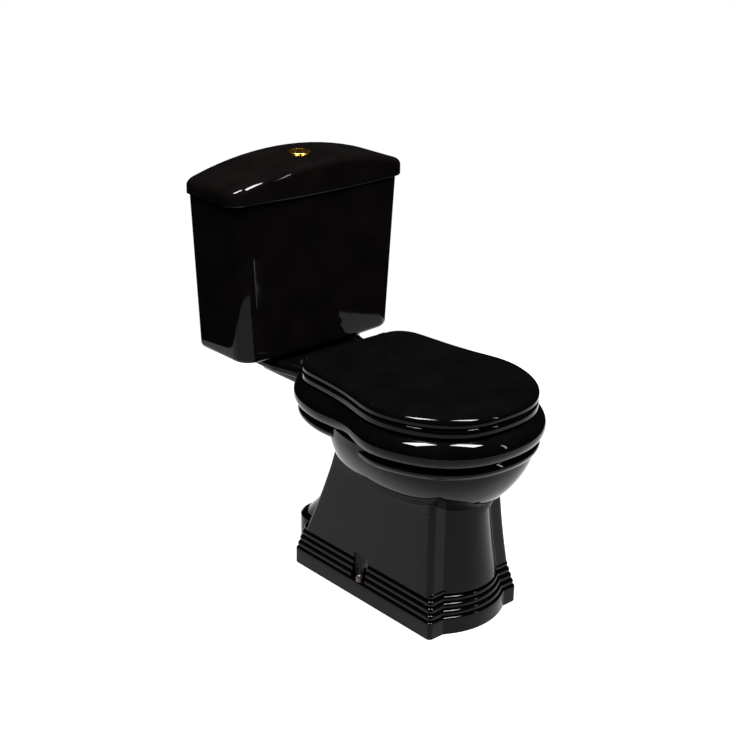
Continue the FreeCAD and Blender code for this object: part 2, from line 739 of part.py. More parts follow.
def export_seat():
    export("seat_ring", seat_ring())
    export("seat_lid", seat_lid())
    export("seat_bumpers", pads(bumper_spots(), rim_height + gap, seat_z))
    export("lid_bumpers", pads(bumper_spots(), seat_top + gap, lid_z + lid_recess))
    bar_end = hinge_bar_length / 2
    bar = cross_pin(hinge_bar_radius, -bar_end, bar_end, hinge_y, hinge_z)
    knobs = [cross_pin(hinge_bar_radius + 1.0, bar_end, bar_end + 2.0, hinge_y, hinge_z),
             cross_pin(hinge_bar_radius + 1.0, -bar_end - 2.0, -bar_end, hinge_y, hinge_z)]
    export("hinge_bar", joined([bar] + knobs))
    x = hinge_spacing / 2
    export("hinge_posts", both_sides(hinge_post(x)))
    nut_z = rim_bottom - cone_height + 0.5
    export("hinge_studs", both_sides(cylinder(stud_radius, nut_z - 26.0, rim_height + 8.0, x, hinge_y)))
    cone = Part.makeCone(14.0, stud_hole - 0.5, cone_height, V(x, hinge_y, nut_z))
    cone = cone.cut(cylinder(stud_radius + 0.1, nut_z - 1, nut_z + 20, x, hinge_y))
    export("hinge_cone_washers", both_sides(cone))
    export("hinge_wing_nuts", both_sides(wing_nut(8.0, 14.0, 17.0, stud_radius + 0.1, nut_z, x, hinge_y)))


# ---------------------------------------------------------------- push button
def bezel():
    top = ring(bezel_radius, collar_radius - collar_wall, cap_top - 1.0, cap_top + bezel_height - 1.0,
               0, valve_y)
    low = cap_top - collar_length
    collar = ring(collar_radius, collar_radius - collar_wall, low, cap_top - 0.5, 0, valve_y)
    floor_plate = cylinder(collar_radius - 0.5, low, low + 3.0, 0, valve_y)
    holes = [cylinder(rod_radius + sliding, low - 1, low + 4, x, valve_y) for x in (full_rod_x, half_rod_x)]
    return joined([top, collar, floor_plate]).cut(holes)


def button_piece(x0, x1):
    radius = collar_radius - collar_wall - sliding
    top = cap_top + bezel_height - 2.0
    disc = cylinder(radius, top - button_thickness, top, 0, valve_y)
    dish = Part.makeSphere(120.0, V(0, valve_y, top + 119.2))
    return disc.cut(dish).common(block(x0, x1, valve_y - 30, valve_y + 30, 0, top + 5))


def push_rod(x, leg_x):
    """A rod under the button, a cross arm over the bridge and a leg down to the lever."""
    low = bridge_z + plate + 4.0 + button_travel + 2.0
    top = cap_top + bezel_height - 2.0 - button_thickness
    leg_low = lever_z + lever_thickness / 2 + 2 * free_play
    rod = cylinder(rod_radius, low, top, x, valve_y)
    a, b = sorted((x, leg_x))
    arm = block(a - 3.0, b + 3.0, valve_y - 3.0, valve_y + 3.0, low - 1.0, low + 5.0)
    leg = cylinder(3.0, leg_low, low + 1.0, leg_x, valve_y)
    return joined([rod, arm, leg])


def coil(x):
    low = cap_top - collar_length + 3.0
    high = cap_top + bezel_height - 2.0 - button_thickness
    height = high - low - 2 * spring_wire - 0.2
    start = low + spring_wire + 0.1
    helix = Part.makeHelix(height / spring_turns, height, spring_radius)
    helix.translate(V(x, valve_y, start))
    section = Part.Wire([Part.makeCircle(spring_wire, V(x + spring_radius, valve_y, start), V(0, 1, 0))])
    return Part.Wire(helix.Edges).makePipeShell([section], True, True)


def export_button():
    export("button_bezel", bezel())
    nut_z = cap_top - cap_thickness
    export("button_nut", hex_bar(52.0, nut_z - 8.0, nut_z, 0, valve_y).cut(
        cylinder(collar_radius + 0.1, nut_z - 20, nut_z + 5, 0, valve_y)))
    export("full_flush_button", button_piece(-30.0, button_split - button_gap / 2))
    export("half_flush_button", button_piece(button_split + button_gap / 2, 30.0))
    leg_x = lever_pivot_x + push_arm
    export("full_push_rod", push_rod(full_rod_x, -leg_x))
    export("half_push_rod", push_rod(half_rod_x, leg_x))
    export("full_button_spring", coil(full_rod_x))
    export("half_button_spring", coil(half_rod_x))


# ---------------------------------------------------------------- flush valve
valve_floor = cistern_inside + gasket_thickness
lip_z = valve_floor + plate + 3.0
basket_top = valve_floor + plate + basket_height


def flush_valve_body():
    flange = ring(flange_radius, tail_bore, valve_floor, valve_floor + plate, 0, valve_y)
    lip = ring(tail_bore + 3.0, tail_bore, valve_floor, lip_z, 0, valve_y)
    tail = ring(tail_radius, tail_bore, valve_floor - tail_length, valve_floor + 1.0, 0, valve_y)
    basket = ring(basket_radius, basket_radius - basket_wall, valve_floor, basket_top, 0, valve_y)
    window = block(-60, 60, valve_y - 14.0, valve_y + 14.0, lip_z + 4.0, basket_top - 6.0)
    cross_window = block(-14.0, 14.0, valve_y - 60, valve_y + 60, lip_z + 4.0, basket_top - 6.0)
    basket = basket.cut([window, cross_window])
    top_plate = ring(basket_radius, tube_radius + sliding, basket_top, basket_top + plate, 0, valve_y)
    columns = [cylinder(5.0, basket_top, bridge_z + 1.0, 0, valve_y + side * column_y) for side in (-1, 1)]
    guide = cylinder(3.0, basket_top, bridge_z + 1.0, guide_x, valve_y)
    bridge = block(-bridge_half, bridge_half, valve_y - column_y - 6.0, valve_y + column_y + 6.0,
                   bridge_z, bridge_z + plate)
    ears = []
    for x in (-lever_pivot_x, lever_pivot_x):
        for side in (-1, 1):
            y = valve_y + side * (lever_width / 2 + 3.0)
            ears.append(block(x - 5.0, x + 5.0, y - 2.0, y + 2.0, lever_z - 6.0, bridge_z + 1.0))
    pins = [pivot_pin(pin_radius, 30.0, x, valve_y, lever_z) for x in (-lever_pivot_x, lever_pivot_x)]
    return joined([flange, lip, tail, basket, top_plate, guide, bridge] + columns + ears).cut(pins)


def overflow_tube():
    low = lip_z + gap + seal_height
    top = lever_z + lever_thickness / 2 + free_play + 4.0
    tube = cylinder(tube_radius, low, top, 0, valve_y)
    foot = cylinder(basket_radius - basket_wall - 3.0, low, low + 4.0, 0, valve_y)
    lift_ring = cylinder(collar_ring, top - 4.0, top, 0, valve_y)
    return joined([tube, foot, lift_ring]).cut(cylinder(tube_radius - tube_wall, low - 1, top + 1, 0, valve_y))


def lever(side, reach):
    """A rocker: its outer end is pushed down and its inner end lifts."""
    outer = side * (lever_pivot_x + push_arm + 4.0)
    inner = side * (lever_pivot_x - reach)
    a, b = sorted((outer, inner))
    half = lever_thickness / 2
    bar = block(a, b, valve_y - lever_width / 2, valve_y + lever_width / 2, lever_z - half, lever_z + half)
    return bar.cut(pivot_pin(pin_radius + running, 30.0, side * lever_pivot_x, valve_y, lever_z))


def half_flush_float():
    low = lever_z - 88.0
    body = cylinder(float_radius, low, low + 40.0, guide_x, valve_y)
    stem = cylinder(5.0, low, lever_z + 8.0, guide_x, valve_y)
    z0 = lever_z + lever_thickness / 2 + free_play
    catch = block(guide_x - 5.0, guide_x + 15.0, valve_y - 5.0, valve_y + 5.0, z0, z0 + 3.0)
    return joined([body, stem, catch]).cut(cylinder(3.0 + sliding, low - 1, lever_z + 20, guide_x, valve_y))


def export_flush_valve():
    export("flush_valve_body", flush_valve_body())
    export("overflow_tube", overflow_tube())
    export("flush_seal", ring(tail_bore + 6.0, tube_radius - tube_wall, lip_z + gap,
                              lip_z + gap + seal_height, 0, valve_y))
    export("full_flush_lever", lever(-1, full_lever_reach))
    export("half_flush_lever", lever(1, half_lever_reach))
    export("lever_pins", [pivot_pin(pin_radius, lever_width + 10.0, x, valve_y, lever_z)
                          for x in (-lever_pivot_x, lever_pivot_x)])
    export("half_flush_float", half_flush_float())
    export("flush_valve_gasket", ring(flange_radius, tail_radius + 0.1, cistern_inside, valve_floor, 0, valve_y))
    nut_low = cistern_z - 11.0
    export("flush_valve_backnut", ring(tail_radius + 12.0, tail_radius + 0.1, nut_low, cistern_z, 0, valve_y))
    skirt = ring(recess_radius - 2.0, tail_radius + 12.3, nut_low, cistern_z, 0, valve_y)
    washer = ring(recess_radius - 2.0, tail_radius + 1.0, recess_z, nut_low, 0, valve_y)
    export("doughnut_washer", joined([skirt, washer]))


def export_coupling():
    x = coupling_x
    head_z = cistern_inside + 4.0
    under = rim_height - deck_skin
    bolt = cylinder(coupling_radius, under - 18.0, head_z + 1, x, valve_y)
    head = cylinder(9.0, head_z, head_z + 5.0, x, valve_y)
    slot = block(x - 10.0, x + 10.0, valve_y - 1.0, valve_y + 1.0, head_z + 3.0, head_z + 6.0)
    export("coupling_bolts", both_sides(joined([bolt, head]).cut(slot)))
    bore = coupling_radius + 0.1
    export("coupling_bolt_seals", both_sides(ring(13.0, bore, cistern_inside, head_z, x, valve_y)))
    export("coupling_washers", both_sides(ring(12.0, bore, under - 2.0, under, x, valve_y)))
    export("coupling_wing_nuts", both_sides(wing_nut(7.5, 11.0, 14.0, bore, under - 2.0, x, valve_y)))


# ---------------------------------------------------------------- fill valve
def fill_valve_body():
    tail = cylinder(fill_tail_radius, cistern_z - fill_tail_length, cistern_z, fill_x, valve_y)
    shank = cylinder(fill_shank_radius, cistern_z - 11.0, valve_floor + 1, fill_x, valve_y)
    flange = cylinder(fill_shank_radius + 6.5, valve_floor, valve_floor + plate, fill_x, valve_y)
    riser = cylinder(fill_body_radius, valve_floor, fill_head_z + 1, fill_x, valve_y)
    head = cylinder(fill_head_radius, fill_head_z, fill_head_z + fill_head_height, fill_x, valve_y)
    outlet = cylinder(6.0, fill_head_z - 60.0, fill_head_z + 2, fill_x, valve_y - fill_head_radius + 1.0)
    web = block(fill_x - 3, fill_x + 3, valve_y - fill_head_radius + 1.0, valve_y, fill_head_z - 55.0,
                fill_head_z)
    bore = cylinder(5.0, cistern_z - fill_tail_length - 1, fill_head_z + 5.0, fill_x, valve_y)
    chamber = cylinder(12.0, fill_head_z + 5.0, fill_head_z + fill_head_height + 1, fill_x, valve_y)
    way_out = cylinder(3.5, fill_head_z - 61.0, fill_head_z + 6.0, fill_x, valve_y - fill_head_radius + 3.0)
    return joined([tail, shank, flange, riser, head, outlet, web]).cut([bore, chamber, way_out])


def fill_valve_cap():
    z0 = fill_head_z + fill_head_height
    z1 = z0 + fill_cap_height
    disc = cylinder(fill_head_radius + 1.0, z0, z1, fill_x, valve_y)
    plug = cylinder(12.0 - 0.2, z0 - 5.0, z0 + 1, fill_x, valve_y)
    pivot_x = fill_x - fill_pivot_offset
    ears = [block(pivot_x - 4, pivot_x + 4, y - 2.0, y + 2.0, z0 + 1, arm_z + 5.0)
            for y in (valve_y - lever_width / 2 - 3.0, valve_y + lever_width / 2 + 3.0)]
    cuts = [pivot_pin(pin_radius, 40.0, pivot_x, valve_y, arm_z),
            cylinder(3.0 + sliding, z0 - 10, z1 + 1, fill_x, valve_y)]
    return joined([disc, plug] + ears).cut(cuts)


def float_arm():
    pivot_x = fill_x - fill_pivot_offset
    half = lever_thickness / 2
    bar = block(pivot_x - arm_length - 8.0, fill_x + 4.0, valve_y - lever_width / 2,
                valve_y + lever_width / 2, arm_z - half, arm_z + half)
    return bar.cut(pivot_pin(pin_radius + running, 30.0, pivot_x, valve_y, arm_z))


def export_fill_valve():
    export("fill_valve_body", fill_valve_body())
    export("fill_valve_gasket", ring(fill_shank_radius + 6.5, fill_shank_radius + 0.1, cistern_inside,
                                     valve_floor, fill_x, valve_y))
    export("fill_valve_backnut", hex_bar(32.0, cistern_z - 9.0, cistern_z, fill_x, valve_y).cut(
        cylinder(fill_shank_radius + 0.1, cistern_z - 20, cistern_z + 5, fill_x, valve_y)))
    export("fill_valve_cap", fill_valve_cap())
    plunger_top = arm_z - lever_thickness / 2 - free_play
    export("fill_valve_plunger", cylinder(3.0, plunger_top - 18.0, plunger_top, fill_x, valve_y))
    export("float_arm", float_arm())
    pivot_x = fill_x - fill_pivot_offset
    export("float_arm_pin", pivot_pin(pin_radius, lever_width + 10.0, pivot_x, valve_y, arm_z))
    cup_x = pivot_x - arm_length
    low = arm_z - cup_height / 2
    cup = cylinder(cup_radius, low, low + cup_height, cup_x, valve_y)
    inner = cylinder(cup_radius - 2.0, low + 2.0, low + cup_height - 2.0, cup_x, valve_y)
    slot = block(cup_x - 9.0, cup_x + cup_radius + 2, valve_y - lever_width / 2, valve_y + lever_width / 2,
                 arm_z - lever_thickness / 2, arm_z + lever_thickness / 2)
    sleeve = block(cup_x - 11.0, cup_x + cup_radius - 1, valve_y - 6.0, valve_y + 6.0, arm_z - 5.0, arm_z + 5.0)
    export("float_cup", cup.cut(inner).fuse(sleeve).cut(slot))


# ---------------------------------------------------------------- floor fixings
def export_floor_fixings():
    x = fixing_x
    base_top = foot_height + 2.5
    rings = ring(fixing_inset - 0.2, fixing_hole, foot_height, base_top, x, niche_y)
    export("floor_screw_washers", both_sides(rings))
    shoulder = base_top + screw_head
    outer = cylinder(fixing_inset - 0.5, base_top, shoulder, x, niche_y)
    outer = outer.fuse(Part.makeSphere(fixing_inset - 0.5, V(x, niche_y, shoulder)).common(
        block(x - 20, x + 20, niche_y - 20, niche_y + 20, shoulder, shoulder + 20)))
    hollow = cylinder(fixing_hole + 0.5, base_top - 1.0, shoulder, x, niche_y)
    hollow = hollow.fuse(Part.makeSphere(fixing_hole + 0.5, V(x, niche_y, shoulder)))
    export("floor_screw_caps", both_sides(outer.cut(hollow).removeSplitter()))


export("pan", pan())
export("cistern", cistern())
export("cistern_lid", cistern_lid())
export_seat()
export_button()
export_flush_valve()
export_coupling()
export_fill_valve()
export_floor_fixings()
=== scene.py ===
import math

import bpy
import numpy as np
from bpy.props import FloatProperty, FloatVectorProperty, PointerProperty
from mathutils import Matrix, Vector


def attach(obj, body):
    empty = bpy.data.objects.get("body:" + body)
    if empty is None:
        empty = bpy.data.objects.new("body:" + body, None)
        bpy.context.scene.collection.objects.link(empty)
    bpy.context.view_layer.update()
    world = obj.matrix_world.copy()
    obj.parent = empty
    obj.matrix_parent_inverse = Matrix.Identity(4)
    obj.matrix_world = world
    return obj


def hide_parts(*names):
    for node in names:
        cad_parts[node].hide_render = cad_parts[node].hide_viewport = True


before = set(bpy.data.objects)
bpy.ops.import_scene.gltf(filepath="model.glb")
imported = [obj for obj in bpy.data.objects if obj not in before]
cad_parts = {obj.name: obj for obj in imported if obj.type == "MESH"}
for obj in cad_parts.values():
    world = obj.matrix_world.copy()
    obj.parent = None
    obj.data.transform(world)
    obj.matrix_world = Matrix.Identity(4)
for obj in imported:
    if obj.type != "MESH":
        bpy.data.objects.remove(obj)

bl_info = {
    "name": "Close coupled toilet",
    "version": (1, 0, 0),
    "blender": (4, 5, 0),
    "location": "3D View > Sidebar > Toilet",
    "description": "Builds the glazed china, seat and push button of a close coupled toilet",
    "category": "Object",
}

# Lengths in the builders are millimetres; the mesh makers turn them into metres.
MM = 0.001
LOOP = 240                    # points round an egg shaped outline
EGG_POWER = 2.2               # 2 is an ellipse; more is squarer
CREASE = math.radians(32)     # a sharper turn than this keeps a hard edge
TUBE_SIDES = 56               # faces round a swept tube
HINGE_Y, HINGE_Z = 126, 447   # axis of the seat's hinge bar
VALVE_Y = 272                 # line of the flush valve, the cistern's bolts and the push button
OUTLET_Y = 183                # middle of the waste outlet
BOLT_X = 76                   # cistern bolts, each side of the middle
STUD_X = 77.5                 # hinge studs, each side of the middle
FIXING_X, FIXING_Y = 112, -57     # floor fixings in the foot's niches
CAP_MIDDLE = (0.0, 274.0)     # where the cistern lid's rings close up


# ------------------------------------------------------------------ outlines
def egg(half, y_front, y_widest, y_back, z):
    turn = np.linspace(0, 2 * np.pi, LOOP, endpoint=False)
    c, s = np.cos(turn), np.sin(turn)
    reach = np.where(c > 0, y_front - y_widest, y_widest - y_back)
    x = half * np.sign(s) * np.abs(s) ** (2 / EGG_POWER)
    y = y_widest + reach * np.sign(c) * np.abs(c) ** (2 / EGG_POWER)
    return at_level(np.column_stack([x, y]), z)


def at_level(flat, z):
    return np.column_stack([flat[:, 0], flat[:, 1], np.full(len(flat), float(z))])


def unit(v):
    return v / np.linalg.norm(v)


def rounded_loop(corners, arc=10, run=8):
    """Straight runs and tangent arcs through (x, y, radius) corners."""
    flat = [np.array(c[:2], float) for c in corners]
    arcs = []
    for i, (_, _, r) in enumerate(corners):
        a = unit(flat[i - 1] - flat[i])
        b = unit(flat[(i + 1) % len(flat)] - flat[i])
        half = math.acos(float(a @ b)) / 2
        centre = flat[i] + unit(a + b) * r / math.sin(half)
        start = flat[i] + a * r / math.tan(half) - centre
        sweep = math.copysign(math.pi - 2 * half, -(a[0] * b[1] - a[1] * b[0]))
        turns = np.linspace(0, sweep, arc + 1)
        c, s = np.cos(turns), np.sin(turns)
        arcs.append(np.column_stack([centre[0] + start[0] * c - start[1] * s,
                                     centre[1] + start[0] * s + start[1] * c]))
    rows = []
    for i, points in enumerate(arcs):
        after = arcs[(i + 1) % len(arcs)][0]
        steps = np.linspace(0, 1, run + 1)[1:-1, None]
        rows += [points, points[-1] + (after - points[-1]) * steps]
    return np.vstack(rows)


def spline_loop(half_points):
    """A smooth mirrored closed curve through half an outline, given from the front to the back."""
    points = np.array(half_points + [(-x, y) for x, y in reversed(half_points[1:-1])], float)
    n = len(points)
    gaps = np.linalg.norm(np.roll(points, -1, axis=0) - points, axis=1)
    left = np.roll(gaps, 1)
    system = np.zeros((n, n))
    for i in range(n):
        system[i, i - 1] += gaps[i]
        system[i, i] += 2 * (gaps[i] + left[i])
        system[i, (i + 1) % n] += left[i]
    rise = (np.roll(points, -1, axis=0) - points) / gaps[:, None]
    before = np.roll(rise, 1, axis=0)
    slopes = np.linalg.solve(system, 3 * (left[:, None] * rise + gaps[:, None] * before))
    ends = np.concatenate([[0], np.cumsum(gaps)])
    out = []
    for s in np.linspace(0, ends[-1], LOOP, endpoint=False):
        i = min(int(np.searchsorted(ends, s, side="right")) - 1, n - 1)
        k, h = (i + 1) % n, gaps[i]
        t = (s - ends[i]) / h
        out.append((2 * t ** 3 - 3 * t ** 2 + 1) * points[i]
                   + (t ** 3 - 2 * t ** 2 + t) * h * slopes[i]
                   + (3 * t ** 2 - 2 * t ** 3) * points[k]
                   + (t ** 3 - t ** 2) * h * slopes[k])
    return np.array(out)


def inset(flat, distance):
    """Moves a loop inwards by a distance, square to itself."""
    along = np.roll(flat, -1, axis=0) - np.roll(flat, 1, axis=0)
    along /= np.linalg.norm(along, axis=1)[:, None]
    return flat + np.column_stack([-along[:, 1], along[:, 0]]) * distance


def quarter(radius, steps=6):
    """Offsets of a quarter round: (inset, drop) from a side into a top."""
    turns = np.linspace(0, math.pi / 2, steps + 1)
    return [(radius * (1 - math.cos(a)), radius * (1 - math.sin(a))) for a in turns]


# ------------------------------------------------------------------ meshes
def skin(name, rings, hoop=False):
    """A closed mesh over rings that go round anticlockwise, from the bottom up."""
    rings = [np.asarray(r, float) for r in rings]
    n, m = len(rings[0]), len(rings)
    verts = [np.vstack(rings)]
    faces = []
    for i in range(m if hoop else m - 1):
        k = (i + 1) % m
        for j in range(n):
            l = (j + 1) % n
            faces.append((i * n + j, i * n + l, k * n + l, k * n + j))
    if not hoop:
        verts += [rings[0].mean(axis=0)[None], rings[-1].mean(axis=0)[None]]
        for j in range(n):
            l = (j + 1) % n
            faces.append((m * n, l, j))
            faces.append((m * n + 1, (m - 1) * n + j, (m - 1) * n + l))
    mesh = bpy.data.meshes.new(name)
    mesh.from_pydata((np.vstack(verts) * MM).tolist(), [], faces)
    return place(name, mesh)


def place(name, mesh):
    piece = bpy.data.objects.new(name, mesh)
    bpy.context.scene.collection.objects.link(piece)
    return piece


def lathe(name, profile, x=0.0, y=0.0, count=64, axis="Z"):
    """Turned shape from (radius, height) pairs, along Z at (x, y) or along X at (y, height)."""
    turns = np.linspace(0, 2 * np.pi, count, endpoint=False)
    rings = []
    for r, h in profile:
        ring = np.column_stack([r * np.cos(turns), r * np.sin(turns), np.full(count, float(h))])
        if axis == "X":
            ring = ring[:, [2, 0, 1]] + [0, x, y]
        else:
            ring = ring + [x, y, 0]
        rings.append(ring)
    return skin(name, rings)


def bar(name, x0, x1, y0, y1, z0, z1, r=0.01):
    corners = [(x1, y1, r), (x0, y1, r), (x0, y0, r), (x1, y0, r)]
    flat = rounded_loop(corners, 3, 1)
    return skin(name, [at_level(flat, z0), at_level(flat, z1)])


def carve(piece, steps):
    """Joins to and cuts from a piece in order, and leaves one plain closed mesh."""
    for operation, tool in steps:
        cut = piece.modifiers.new(operation, "BOOLEAN")
        cut.operation = operation
        cut.solver = "MANIFOLD"
        cut.object = tool
    flatten(piece)
    for tool in {t for _, t in steps}:
        bpy.data.objects.remove(tool)
    return piece


def flatten(piece):
    """Turns a piece's modifiers into its plain mesh."""
    graph = bpy.context.evaluated_depsgraph_get()
    mesh = bpy.data.meshes.new_from_object(piece.evaluated_get(graph))
    piece.modifiers.clear()
    piece.data = mesh
    mesh.name = piece.name
    return piece


def dress(piece, material, slot, body, *nodes):
    mesh = piece.data
    mesh.materials.clear()
    mesh.materials.append(material)
    mesh.polygons.foreach_set("material_index", [0] * len(mesh.polygons))
    mesh.shade_smooth()
    mesh.set_sharp_from_angle(angle=CREASE)
    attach(piece, body)
    if nodes:
        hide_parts(*nodes)
    return piece


# ------------------------------------------------------------------ materials
def linear(code):
    """sRGB hex to linear red, green, blue, alpha."""
    parts = [int(code[i:i + 2], 16) / 255 for i in (0, 2, 4)]
    return [c / 12.92 if c <= 0.04045 else ((c + 0.055) / 1.055) ** 2.4 for c in parts] + [1.0]


def add(tree, kind, links=None, **settings):
    """Adds a node with its settings; links holds input values, or sockets to join."""
    node = tree.nodes.new(kind)
    for key, value in settings.items():
        setattr(node, key, value)
    for key, value in (links or {}).items():
        if isinstance(value, bpy.types.NodeSocket):
            tree.links.new(value, node.inputs[key])
        else:
            node.inputs[key].default_value = value
    return node


def per_metre(millimetres):
    return 1000.0 / millimetres


def shade(colour):
    """A darker tone of a colour, for the drift across a surface."""
    return [c * 0.62 for c in colour[:3]] + [1.0]


def finish(name, light, rough, wave, grain, wave_size, grain_size, metallic=0.0, ior=1.5):
    """Colour drifts from a tone to a darker one, roughness between two values, and two bumps: a slow wave
    in the surface and a fine grain, with heights in millimetres."""
    material = bpy.data.materials.new(name)
    material.use_nodes = True
    tree = material.node_tree
    shader = tree.nodes["Principled BSDF"]
    shader.inputs["Metallic"].default_value = metallic
    if not metallic:
        shader.inputs["IOR"].default_value = ior
    where = add(tree, "ShaderNodeTexCoord").outputs["Object"]
    slow = add(tree, "ShaderNodeTexNoise",
               {"Vector": where, "Scale": per_metre(wave_size), "Detail": 2.0})
    fine = add(tree, "ShaderNodeTexNoise",
               {"Vector": where, "Scale": per_metre(grain_size), "Detail": 3.0})
    tone = add(tree, "ShaderNodeValToRGB", {"Fac": slow.outputs["Fac"]})
    tone.color_ramp.elements[0].position = 0.35
    tone.color_ramp.elements[0].color = shade(light)
    tone.color_ramp.elements[1].position = 0.65
    tone.color_ramp.elements[1].color = list(light[:3]) + [1.0]
    tree.links.new(tone.outputs["Color"], shader.inputs["Base Color"])
    dull = add(tree, "ShaderNodeMapRange",
               {"Value": fine.outputs["Fac"], "From Min": 0.3, "From Max": 0.7,
                "To Min": rough[0], "To Max": rough[1]})
    tree.links.new(dull.outputs["Result"], shader.inputs["Roughness"])
    low = add(tree, "ShaderNodeBump",
              {"Height": slow.outputs["Fac"], "Distance": wave * MM, "Strength": 1.0})
    high = add(tree, "ShaderNodeBump",
               {"Height": fine.outputs["Fac"], "Distance": grain * MM, "Strength": 1.0,
                "Normal": low.outputs["Normal"]})
    tree.links.new(high.outputs["Normal"], shader.inputs["Normal"])
    return material


materials = {}


def make_materials(look):
    # Vitreous china under a fired black glaze: very smooth, with the slow waviness of a poured glaze
    materials["cistern_glaze"] = finish("china_fired_brown_black_glaze", look.cistern_colour,
                                        (0.02, 0.05), look.glaze_wave / MM, 0.004, 70.0, 3.0,
                                        ior=look.glaze_ior)
    materials["pan_glaze"] = finish("china_fired_black_glaze", look.pan_colour, (0.02, 0.05),
                                    look.glaze_wave / MM, 0.004, 60.0, 3.0, ior=look.glaze_ior)
    # Lacquered moulded seat: polished, flatter than the china
    materials["seat_lacquer"] = finish("seat_polished_black_lacquer", look.seat_colour, (0.03, 0.07),
                                       0.02, 0.002, 80.0, 1.5, ior=look.glaze_ior)
    # Polished brass, lacquered: warm, with fine wiping marks
    materials["brass"] = finish("brass_polished", look.brass_colour, (0.12, 0.26), 0.01, 0.006,
                                12.0, 0.6, metallic=1.0)
    # Machined brass bolts: duller, with turning marks
    materials["bolt"] = finish("brass_machined", linear("b8923f"), (0.25, 0.42), 0.01, 0.02,
                               6.0, 0.4, metallic=1.0)
    # Injection moulded polypropylene, off white: soft sheen and a faint grain
    materials["valve"] = finish("polypropylene_moulded_white", linear("e4e2da"), (0.35, 0.5),
                                0.05, 0.02, 20.0, 0.8, ior=1.49)
    # Moulded acetal: darker and a little smoother
    materials["grey"] = finish("acetal_moulded_grey", linear("3a3b3d"), (0.32, 0.48), 0.04, 0.02,
                               18.0, 0.8, ior=1.48)
    # Moulded rubber: matt, slightly pitted, black in the seals and pale in the seat's pads
    materials["rubber"] = finish("rubber_moulded_black", linear("1c1c1c"), (0.6, 0.8), 0.05, 0.04,
                                 10.0, 0.7, ior=1.52)
    materials["pad"] = finish("rubber_moulded_pale", linear("8d8c88"), (0.5, 0.7), 0.05, 0.03,
                              10.0, 0.7, ior=1.52)
    # Drawn spring wire: bright, streaked
    materials["spring"] = finish("steel_wire_drawn", linear("a8abae"), (0.22, 0.36), 0.01, 0.01,
                                 4.0, 0.4, metallic=1.0)
    # Moulded caps over the floor screws: dark, a little glossy
    materials["cap"] = finish("plastic_cap_dark_bronze", linear("2c2118"), (0.2, 0.35), 0.01, 0.005,
                              8.0, 0.8, ior=1.45)
    # Brass hinge under baked black enamel: glossy, with a faint orange peel
    materials["enamel"] = finish("brass_baked_black_enamel", linear("0b0b0c"), (0.12, 0.25), 0.01, 0.006,
                                 9.0, 0.9, ior=1.3)


# ------------------------------------------------------------------ the pan
RIM_HALF = [(0, -353), (81.7, -338), (142.7, -295), (181.9, -228), (195.5, -158), (187, -114),
            (176.5, -78), (173, -38), (174.5, 5), (168, 55), (150, 102), (120, 140), (72, 172), (0, 188)]


def rim_rings():
    outline = spline_loop(RIM_HALF)
    rings = []
    for a in np.linspace(-90, 90, 27):
        r = math.radians(a)
        rings.append(at_level(inset(outline, 30 * (1 - math.cos(r))), 396 + 30 * math.sin(r)))
    return rings


def bead_rings():
    outline = spline_loop(RIM_HALF)
    shape = [(14, 350), (12.4, 353), (10.2, 355), (9, 358), (9, 362), (10, 366), (14, 372)]
    return [at_level(inset(outline, d), z) for d, z in shape]


def bowl_level(drop, thin=0.0):
    swell = (1 - drop ** 1.8) ** 0.8
    half = 95 + 85.5 * swell - thin
    y_front = -338 + 74 * (1 - swell) + thin
    y_back = 75 - 16 * (1 - swell) - thin
    return egg(half, y_front, (y_front + y_back) / 2, y_back, 361 - 116 * drop)


def bowl_rings(down=0.0, thin=0.0):
    drops = [0, .05, .1, .18, .26, .34, .42, .5, .57, .64,
             .7, .75, .8, .84, .88, .91, .94, .965, .985, .995]
    rings = [bowl_level(d, thin) for d in reversed(drops)]
    return [r - [0, 0, down] for r in rings]


def foot_loop(half, y_front, bow, shoulder, y_back, corner=9.0):
    y_shoulder = y_front + bow
    side = half - shoulder
    left = [(-half, y_back, 10.0), (-half, y_shoulder, corner), (-side, y_shoulder, 4.0)]
    reach = 0.85 * math.hypot(side, 2 * bow)
    nose = (0.0, y_shoulder - 2 * bow, reach * side / (2 * bow))
    return rounded_loop(left + [nose] + [(-x, y, r) for x, y, r in reversed(left)], 12, 10)


def plinth_ring(d, z):
    """The foot's outline at a level, moved in by d."""
    return at_level(foot_loop(119.5 - d, -289 + d, 22, 36, 139 - d), z)


def trunk_ring(d, z):
    """The trunk's outline at a level, moved in by d: it flares at the foot and leans in at the top."""
    rise = (z - 88.5) / 156.5
    lean = min(max(rise, 0.0), 1.0)
    flare = 5.0 * max(0.0, 1 - rise) ** 2
    y_back = 109 - 50 * rise
    return at_level(foot_loop(104 + flare - 9 * lean - d, -274 - flare + 10 * lean + d, 26, 36,
                              y_back + flare - d, 12.0), z)


def foot_rings(bulge_out):
    rings = [plinth_ring(0.8, 0), plinth_ring(0, 1.0), plinth_ring(0, 12), plinth_ring(0, 24)]
    rings += [plinth_ring(d, 36.5 - 4 + (4 - h)) for d, h in quarter(4.0, 5)]
    for i in range(4):
        z0 = 36.5 + 13 * i
        base = 2.4 + 3.1 * i
        for t in np.linspace(0.0, 1.0, 11):
            bulge = math.sin(math.pi * t) ** 0.55 if 0 < t < 1 else 0.0
            rings.append(plinth_ring(base + bulge_out * (1 - bulge), z0 + 0.15 + 12.7 * t))
    return rings


def trunk_rings():
    levels = [80, 84, 88.5, 94, 100, 108, 118, 130, 145, 160,
              175, 190, 202, 212, 222, 232, 245, 262, 280, 300]
    return [trunk_ring(0.0, z) for z in levels]


